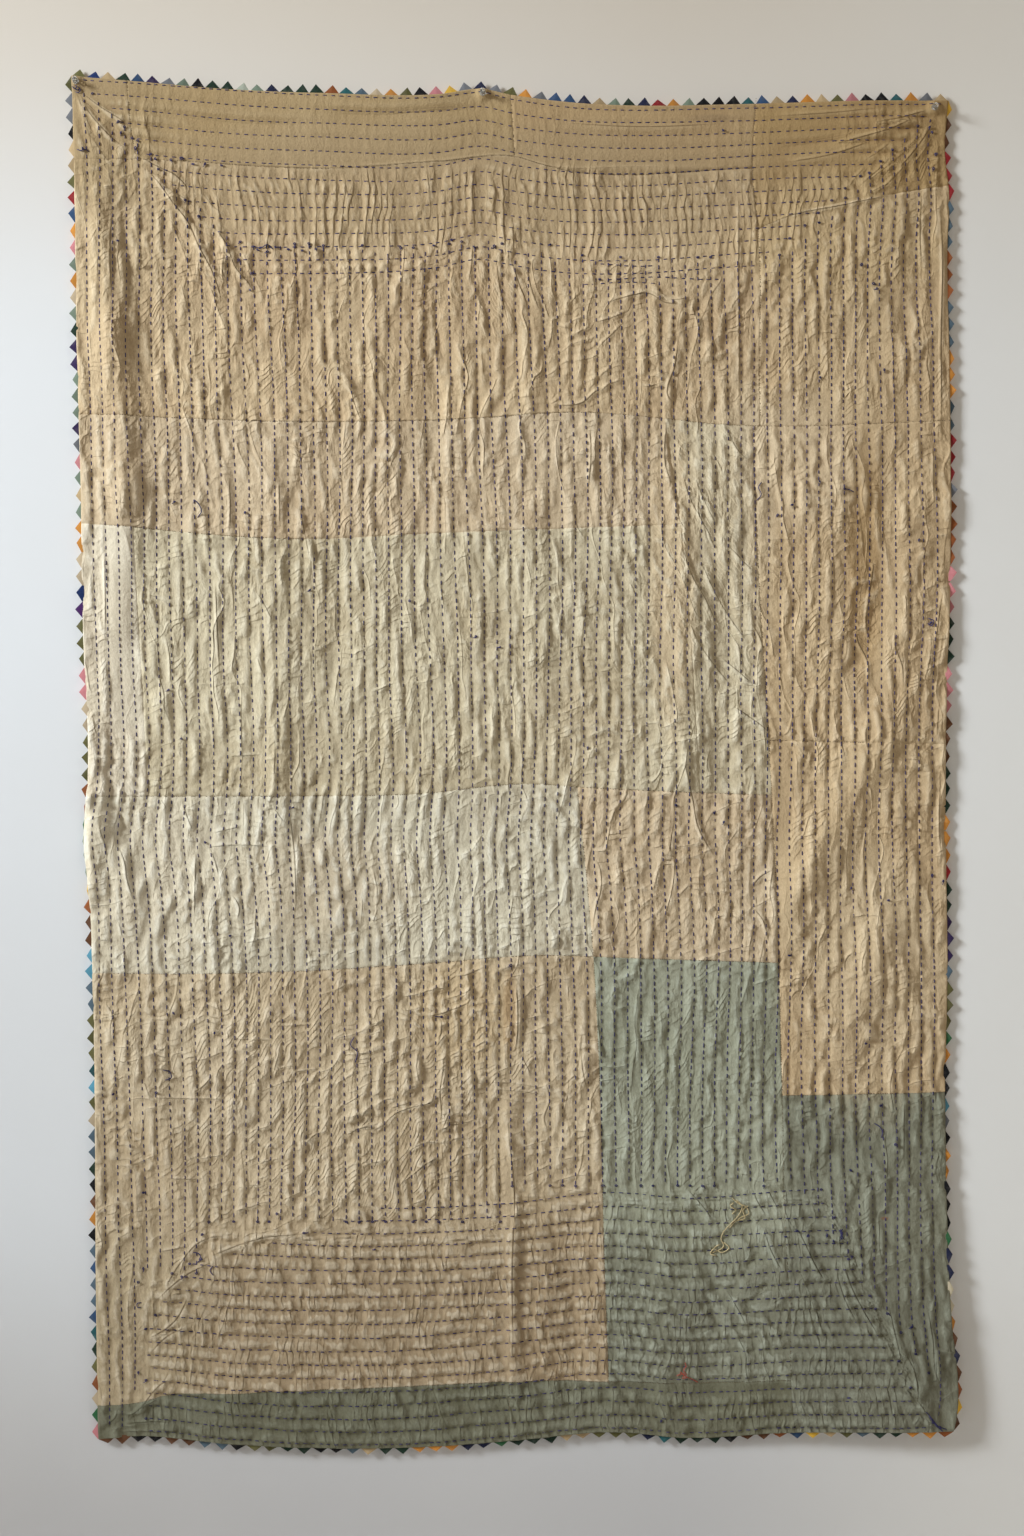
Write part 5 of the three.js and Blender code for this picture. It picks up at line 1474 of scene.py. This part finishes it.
def yarn_mesh(name, strands, radius, sides=4):
    """Round threads along their places, laid on the cloth, each with its rise above it."""
    corners, faces = [], []
    for places, rise in strands:
        count = len(places)
        level = cloth_face(places[:, 0], places[:, 1]) + 0.6 * radius + rise
        centre = np.column_stack([places, level])
        along = np.gradient(centre, axis=0)
        along = along / np.linalg.norm(along, axis=1)[:, None]
        aside = np.cross(along, np.array([0.0, 0.0, 1.0]))
        aside = aside / np.maximum(np.linalg.norm(aside, axis=1), 1e-6)[:, None]
        above = np.cross(aside, along)
        from_end = np.minimum(np.arange(count), np.arange(count)[::-1])
        thin = radius * np.sqrt(np.clip(from_end, 0.35, 1))
        first = len(corners)
        for step in range(count):
            for side in range(sides):
                turn = 2 * np.pi * side / sides
                aslant = aside[step] * np.cos(turn) + above[step] * np.sin(turn)
                spot = centre[step] + thin[step] * aslant
                corners.append((spot[0] / 1000, -spot[2] / 1000, -spot[1] / 1000))
        for step in range(count - 1):
            for side in range(sides):
                a, b = first + step * sides + side, first + step * sides + (side + 1) % sides
                faces.append((a, b, b + sides, a + sides))
        last = first + (count - 1) * sides
        faces.append(tuple(range(first, first + sides))[::-1])
        faces.append(tuple(range(last, last + sides)))
    mesh = bpy.data.meshes.new(name)
    mesh.from_pydata(corners, [], faces)
    mesh.shade_smooth()
    piece = put_in(name, mesh)
    face_outwards(piece)
    return piece


knots = yarn_mesh("knots_and_loops", strands, KNOT_THREAD_RADIUS)
knots.data.materials.append(thread.material)
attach(knots, "root")

# A frayed length of thick undyed yarn caught in the green cloth, and a snag of red thread.
YARN = [  # places as x, drop, x, drop
    (353, 1741, 362, 1752, 357, 1764, 345, 1777, 331, 1794, 329, 1804, 333, 1813, 322, 1822, 313, 1825),
    (346, 1738, 355, 1746, 368, 1752, 372, 1762, 361, 1768, 354, 1772),
    (371, 1750, 363, 1758, 366, 1769, 352, 1774, 341, 1786),
    (333, 1808, 341, 1816, 330, 1824, 319, 1819),
    (326, 1811, 318, 1817, 312, 1826, 322, 1829),
    (349, 1745, 343, 1750, 352, 1757, 346, 1763),
]
RED = [
    (259, 2018, 267, 2015, 274, 2019, 284, 2024, 293, 2029),
    (275, 2017, 270, 2009, 274, 2003, 272, 1997),
    (264, 2012, 271, 2016, 268, 2022, 276, 2020),
]
LOOSE = [  # name, strands, radius, colour
    ("loose_yarn", YARN, 0.9, (0.42, 0.35, 0.20)),
    ("red_snag", RED, 0.6, (0.36, 0.07, 0.05)),
]
for name, lines, radius, tone in LOOSE:
    laid = []
    for line in lines:
        _, places = smooth_path(line, 1.8)
        laid.append((places, 0.4 + 1.3 * np.sin(np.linspace(0, np.pi, len(places))) ** 2))
    piece = yarn_mesh(name, laid, radius, 5)
    spun = Finish(name)
    twist = spun.noise(spun.place(), 900.0, 3.0)
    tone = spun.blend(spun.between(twist, 0.35, 0.7), tone, [1.5 * part for part in tone])
    spun.shine({"Base Color": tone, "Roughness": 0.9, "Specular IOR Level": 0.2})
    piece.data.materials.append(spun.material)
    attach(piece, "root")

# ---------------------------------------------------------------- edging
# A row of small squares of waste cloth, each folded twice into a triangle and caught between the
# front cloth and the reverse, so that its point stands out of the edge.

EDGING_TONES = {
    "olive": (0.12, 0.115, 0.045), "navy": (0.018, 0.022, 0.055), "tan": (0.46, 0.34, 0.19),
    "forest": (0.018, 0.038, 0.026), "blue": (0.035, 0.075, 0.16), "violet": (0.035, 0.022, 0.075),
    "grey": (0.17, 0.18, 0.20), "sage": (0.16, 0.21, 0.16), "black": (0.010, 0.010, 0.012),
    "pale": (0.42, 0.46, 0.38), "teal": (0.025, 0.10, 0.11), "rust": (0.28, 0.09, 0.03),
    "beige": (0.46, 0.37, 0.25), "orange": (0.58, 0.25, 0.05), "pink": (0.56, 0.22, 0.24),
    "red": (0.29, 0.025, 0.03), "slate": (0.085, 0.13, 0.17), "brown": (0.12, 0.055, 0.028),
    "sky": (0.10, 0.30, 0.42), "green": (0.03, 0.12, 0.05), "yellow": (0.62, 0.38, 0.05),
    "royal": (0.015, 0.035, 0.13), "purple": (0.07, 0.025, 0.12), "cream": (0.56, 0.50, 0.36),
}
EDGING_ROWS = {  # tones in order, each with how many triangles it makes
    "top": (
        "olive1 royal1 tan1 forest1 blue1 violet1 grey1 sage1 black1 forest2 pale1 sage1 navy1 "
        "forest3 rust1 teal1 slate1 beige1 orange1 olive1 black1 pink1 yellow1 grey1 navy1 grey1 "
        "olive1 orange1 grey1 blue2 navy1 tan1 sage1 forest1 navy1 red1 orange1 sage1 black3 teal1 "
        "blue1 tan1 navy1 orange1 tan1 olive1 pink1 black2 teal1 orange1 grey1 tan1 brown1"
    ),
    "right": (
        "yellow1 brown2 red3 slate3 rust3 slate3 orange3 slate2 red3 grey1 rust4 pink3 forest3 pink3 "
        "brown3 forest3 orange3 red1 forest2 violet3 slate1 olive3 green1 orange1 black2 sky1 grey1 "
        "black1 orange2 black3 green1 navy2 cream2 orange1 brown1 navy1 brown1 rust1"
    ),
    "bottom": (
        "brown2 black2 brown2 slate2 black1 olive2 forest2 black2 slate1 tan1 forest2 orange3 navy2 "
        "green1 forest3 tan2 olive3 navy1 teal1 forest3 black1 brown2 rust1 blue1 yellow1 tan1 olive1 "
        "slate1 forest2 orange2 rust1"
    ),
    "left": (
        "olive1 grey2 black1 tan2 olive1 red1 blue1 orange1 pink1 sage1 orange1 beige1 sage1 forest1 "
        "violet2 sage3 violet1 grey1 pink1 sage1 tan1 sage1 orange2 beige2 royal1 purple1 olive3 "
        "pink2 beige2 olive3 rust2 green1 sage3 yellow1 rust1 brown2 sky2 slate2 olive3 teal1 sky1 "
        "olive1 beige1 slate2 forest1 black1 brown1 orange1 black1 slate1 blue1 slate2 blue1 teal1 "
        "forest1 olive1 rust1 beige1 green1 pink1"
    ),
}
SIDES = [  # name, triangles, how far they stand out, which side of the line is outwards
    ("top", 59, 12, 1), ("right", 80, 9, 1), ("bottom", 52, 9.5, -1), ("left", 83, 10, -1),
]
BASE_FACE = 2.75  # hidden face of the cloth to the room side of the edging
TRIANGLE_THICKNESS = 1.2
ROOT = -3  # how far a triangle goes in between the two cloths
FLAP, FLAP_RISE = 0.4, 0.6  # its folded edges meet here, and stand up this much
ROLLED_HEIGHT, ROLLED_BACK = 3.0, 4.5  # of a triangle that is turned back to the wall
POINT_BACK = 0.25  # how far its point bends back
CLOSEST = 0.4  # to the wall
HALF_WIDTH = 0.84, 0.99  # from, to, as a share of the pitch's half
HEIGHT_VARIES, LEANS_BY, CURLS_BY, LAPS_BY = (-2.2, 1.8), (-2.4, 2.4), (-0.8, 1.6), (-0.25, 0.25)
FADES_BY = 0.8, 1.2
RIGHT_SHORTER = 2.5, 1300, 500  # on the right side, from this drop down and within how much
TRIANGLE_FACES = [
    (10, 1, 2, 11), (11, 2, 12), (12, 2, 3), (12, 3, 4), (11, 12, 4), (0, 10, 11, 4),
    (6, 5, 9, 7), (7, 9, 8), (2, 1, 6, 7), (3, 2, 7, 8), (4, 3, 8, 9), (0, 4, 9, 5), (1, 10, 0, 5, 6),
]

edging = Finish("edging_cotton")
place = edging.place()
dye = edging.node("ShaderNodeAttribute", {"attribute_name": "dye"}, out="Color")
faded = edging.between(edging.noise(place, 120.0, 3.0), 0.45, 0.8) * 0.12
tone = edging.blend(faded, dye, (0.35, 0.33, 0.30))
bump = edging.bump(edging.noise(place, 1100.0, 2.0), 0.0003, 0.8)
edging.shine({"Base Color": tone, "Roughness": 0.88, "Specular IOR Level": 0.15, "Normal": bump})

fold_hand = np.random.default_rng(11)
for side_name, count, point_height, turned in SIDES:
    tones = []
    for word in EDGING_ROWS[side_name].split():
        tones += [word.rstrip("0123456789")] * int(word[-1])
    tones = (tones * 2)[:count]
    corners, faces, dyes = [], [], []
    for number in range(count):
        fraction = (number + 0.5) / count
        ends = np.array([fraction - 0.5 / count, fraction, fraction + 0.5 / count])
        fixed = np.full(3, 1.0 if side_name in ("bottom", "right") else 0.0)
        x, drop = between(*OUTLINE, *((ends, fixed) if side_name in ("top", "bottom") else (fixed, ends)))
        along = np.array([x[2] - x[0], drop[2] - drop[0]])
        pitch = np.linalg.norm(along)
        along = along / pitch
        outward = turned * np.array([along[1], -along[0]])
        base = np.array([x[1], drop[1]])
        level = float(stand_off(x[1:2], drop[1:2])[0]) + BASE_FACE
        half = 0.5 * pitch * fold_hand.uniform(*HALF_WIDTH)
        height = point_height + fold_hand.uniform(*HEIGHT_VARIES)
        if side_name == "right":
            shorter, start, within = RIGHT_SHORTER
            height -= shorter * float(soft((base[1] - start) / within))
        lean_by = fold_hand.uniform(*LEANS_BY)
        if side_name == "left" and ROLL_START < base[1] < ROLL_END:
            height, level = ROLLED_HEIGHT, max(level - ROLLED_BACK, ROLLED_HEIGHT)
        curl = fold_hand.uniform(*CURLS_BY)
        lap = fold_hand.uniform(*LAPS_BY) * half
        point = (lean_by, height, -POINT_BACK)
        shape = [(-half, ROOT, 0), (half, ROOT, 0), (half, FLAP, 0), point, (-half, FLAP, 0)]
        back = [(side, beyond, -TRIANGLE_THICKNESS - rise) for side, beyond, rise in shape]
        fold = [
            (lap, ROOT, 0.55), (lap, FLAP, FLAP_RISE), (lap * 0.5 + lean_by * 0.5, height * 0.5, 0.35),
        ]
        shape = np.array(shape + back + fold)
        place = base + np.outer(shape[:, 0], along) + np.outer(shape[:, 1], outward)
        out = level + shape[:, 2] + curl * np.maximum(0, shape[:, 1]) / 12
        faces += [tuple(len(corners) + corner for corner in face) for face in TRIANGLE_FACES]
        corners += (np.column_stack([place[:, 0], -np.maximum(out, CLOSEST), -place[:, 1]]) / 1000).tolist()
        tone = np.array(EDGING_TONES[tones[number]]) * fold_hand.uniform(*FADES_BY)
        dyes += [(*tone, 1.0)] * len(shape)
    mesh = bpy.data.meshes.new("edging")
    mesh.from_pydata(corners, [], faces)
    dyed = mesh.attributes.new("dye", "FLOAT_COLOR", "POINT")
    dyed.data.foreach_set("color", np.array(dyes, np.float32).ravel())
    mesh.materials.append(edging.material)
    comb = put_in(f"folded_triangles_{side_name}", mesh)
    face_outwards(comb)
    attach(comb, "root")
    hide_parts(f"edging_{side_name}")

# ---------------------------------------------------------------- push pins
# Three clear moulded push pins hold the quilt at its top edge. Each grip is turned: a flange that
# presses on the cloth, a waist for the fingers and a head, on a polished steel needle.

GRIP = [  # radius, distance out from the flange's face, in millimetres
    (0.85, 5.6), (0.85, 0.0), (4.4, 0.0), (4.9, 0.35), (4.9, 0.8), (4.5, 1.4), (3.2, 2.3), (2.55, 3.6),
    (2.4, 5.2), (2.5, 7.2), (2.9, 8.8), (3.8, 10.1), (4.3, 10.7), (4.35, 11.3), (3.9, 11.85), (3.0, 12.0),
    (0.0, 12.0),
]
GRIP_STEPS = 32
SHARP = 0.7  # radians; a grip's edges that turn more than this stay sharp

clear = Finish("clear_plastic")
scuffs = clear.noise(clear.place(), 900.0, 3.0)
clear.shine({
    "Base Color": clear.blend(clear.between(scuffs, 0.3, 0.8), (0.96, 0.98, 0.98), (0.90, 0.93, 0.93)),
    "Roughness": clear.between(scuffs, 0.45, 0.85) * 0.1 + 0.04,
    "IOR": 1.49,
    "Transmission Weight": 0.92,
    "Normal": clear.bump(scuffs, 0.0001, 0.2),
})
steel = Finish("pin_steel")
drawn = steel.noise(steel.stretched(steel.place(), (1, 0.1, 1)), 2500.0, 2.0)
steel.shine({
    "Base Color": steel.blend(steel.between(drawn, 0.3, 0.7), (0.60, 0.61, 0.62), (0.48, 0.49, 0.50)),
    "Metallic": 1.0,
    "Roughness": steel.between(drawn, 0.3, 0.8) * 0.12 + 0.2,
})
for name, pin_x, pin_drop in PINS:
    low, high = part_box(f"pin_grip_{name}")
    middle_x, middle_z = (low.x + high.x) / 2, (low.z + high.z) / 2
    spots = [(middle_x + radius / 1000, high.y - out / 1000, middle_z) for radius, out in GRIP]
    bpy.ops.object.select_all(action="DESELECT")
    bpy.ops.mesh.primitive_plane_add(size=0.001, location=(0, 0, 0))
    grip = bpy.context.object
    grip.name = f"clear_grip_{name}"
    bpy.ops.object.mode_set(mode="EDIT")
    bpy.ops.mesh.merge(type="CENTER")
    bpy.ops.transform.translate(value=spots[0])
    for here, there in zip(spots, spots[1:]):
        step = tuple(b - a for a, b in zip(here, there))
        bpy.ops.mesh.extrude_vertices_move(TRANSFORM_OT_translate={"value": step})
    bpy.ops.mesh.select_all(action="SELECT")
    centre = (middle_x, high.y, middle_z)
    bpy.ops.mesh.spin(steps=GRIP_STEPS, angle=2 * np.pi, center=centre, axis=(0, 1, 0))
    bpy.ops.mesh.select_all(action="SELECT")
    bpy.ops.mesh.remove_doubles(threshold=0.00002)
    bpy.ops.mesh.select_all(action="DESELECT")
    bpy.ops.mesh.select_non_manifold()
    bpy.ops.mesh.edge_face_add()
    bpy.ops.object.mode_set(mode="OBJECT")
    face_outwards(grip)
    bpy.ops.object.shade_smooth_by_angle(angle=SHARP)
    grip.data.materials.append(clear.material)
    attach(grip, "root")
    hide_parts(f"pin_grip_{name}")
    needle = bpy.data.objects[f"pin_needle_{name}"]
    for slot in needle.material_slots:
        slot.material = steel.material

size = {"cad": cad_box, "visual": [list(corner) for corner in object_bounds()]}
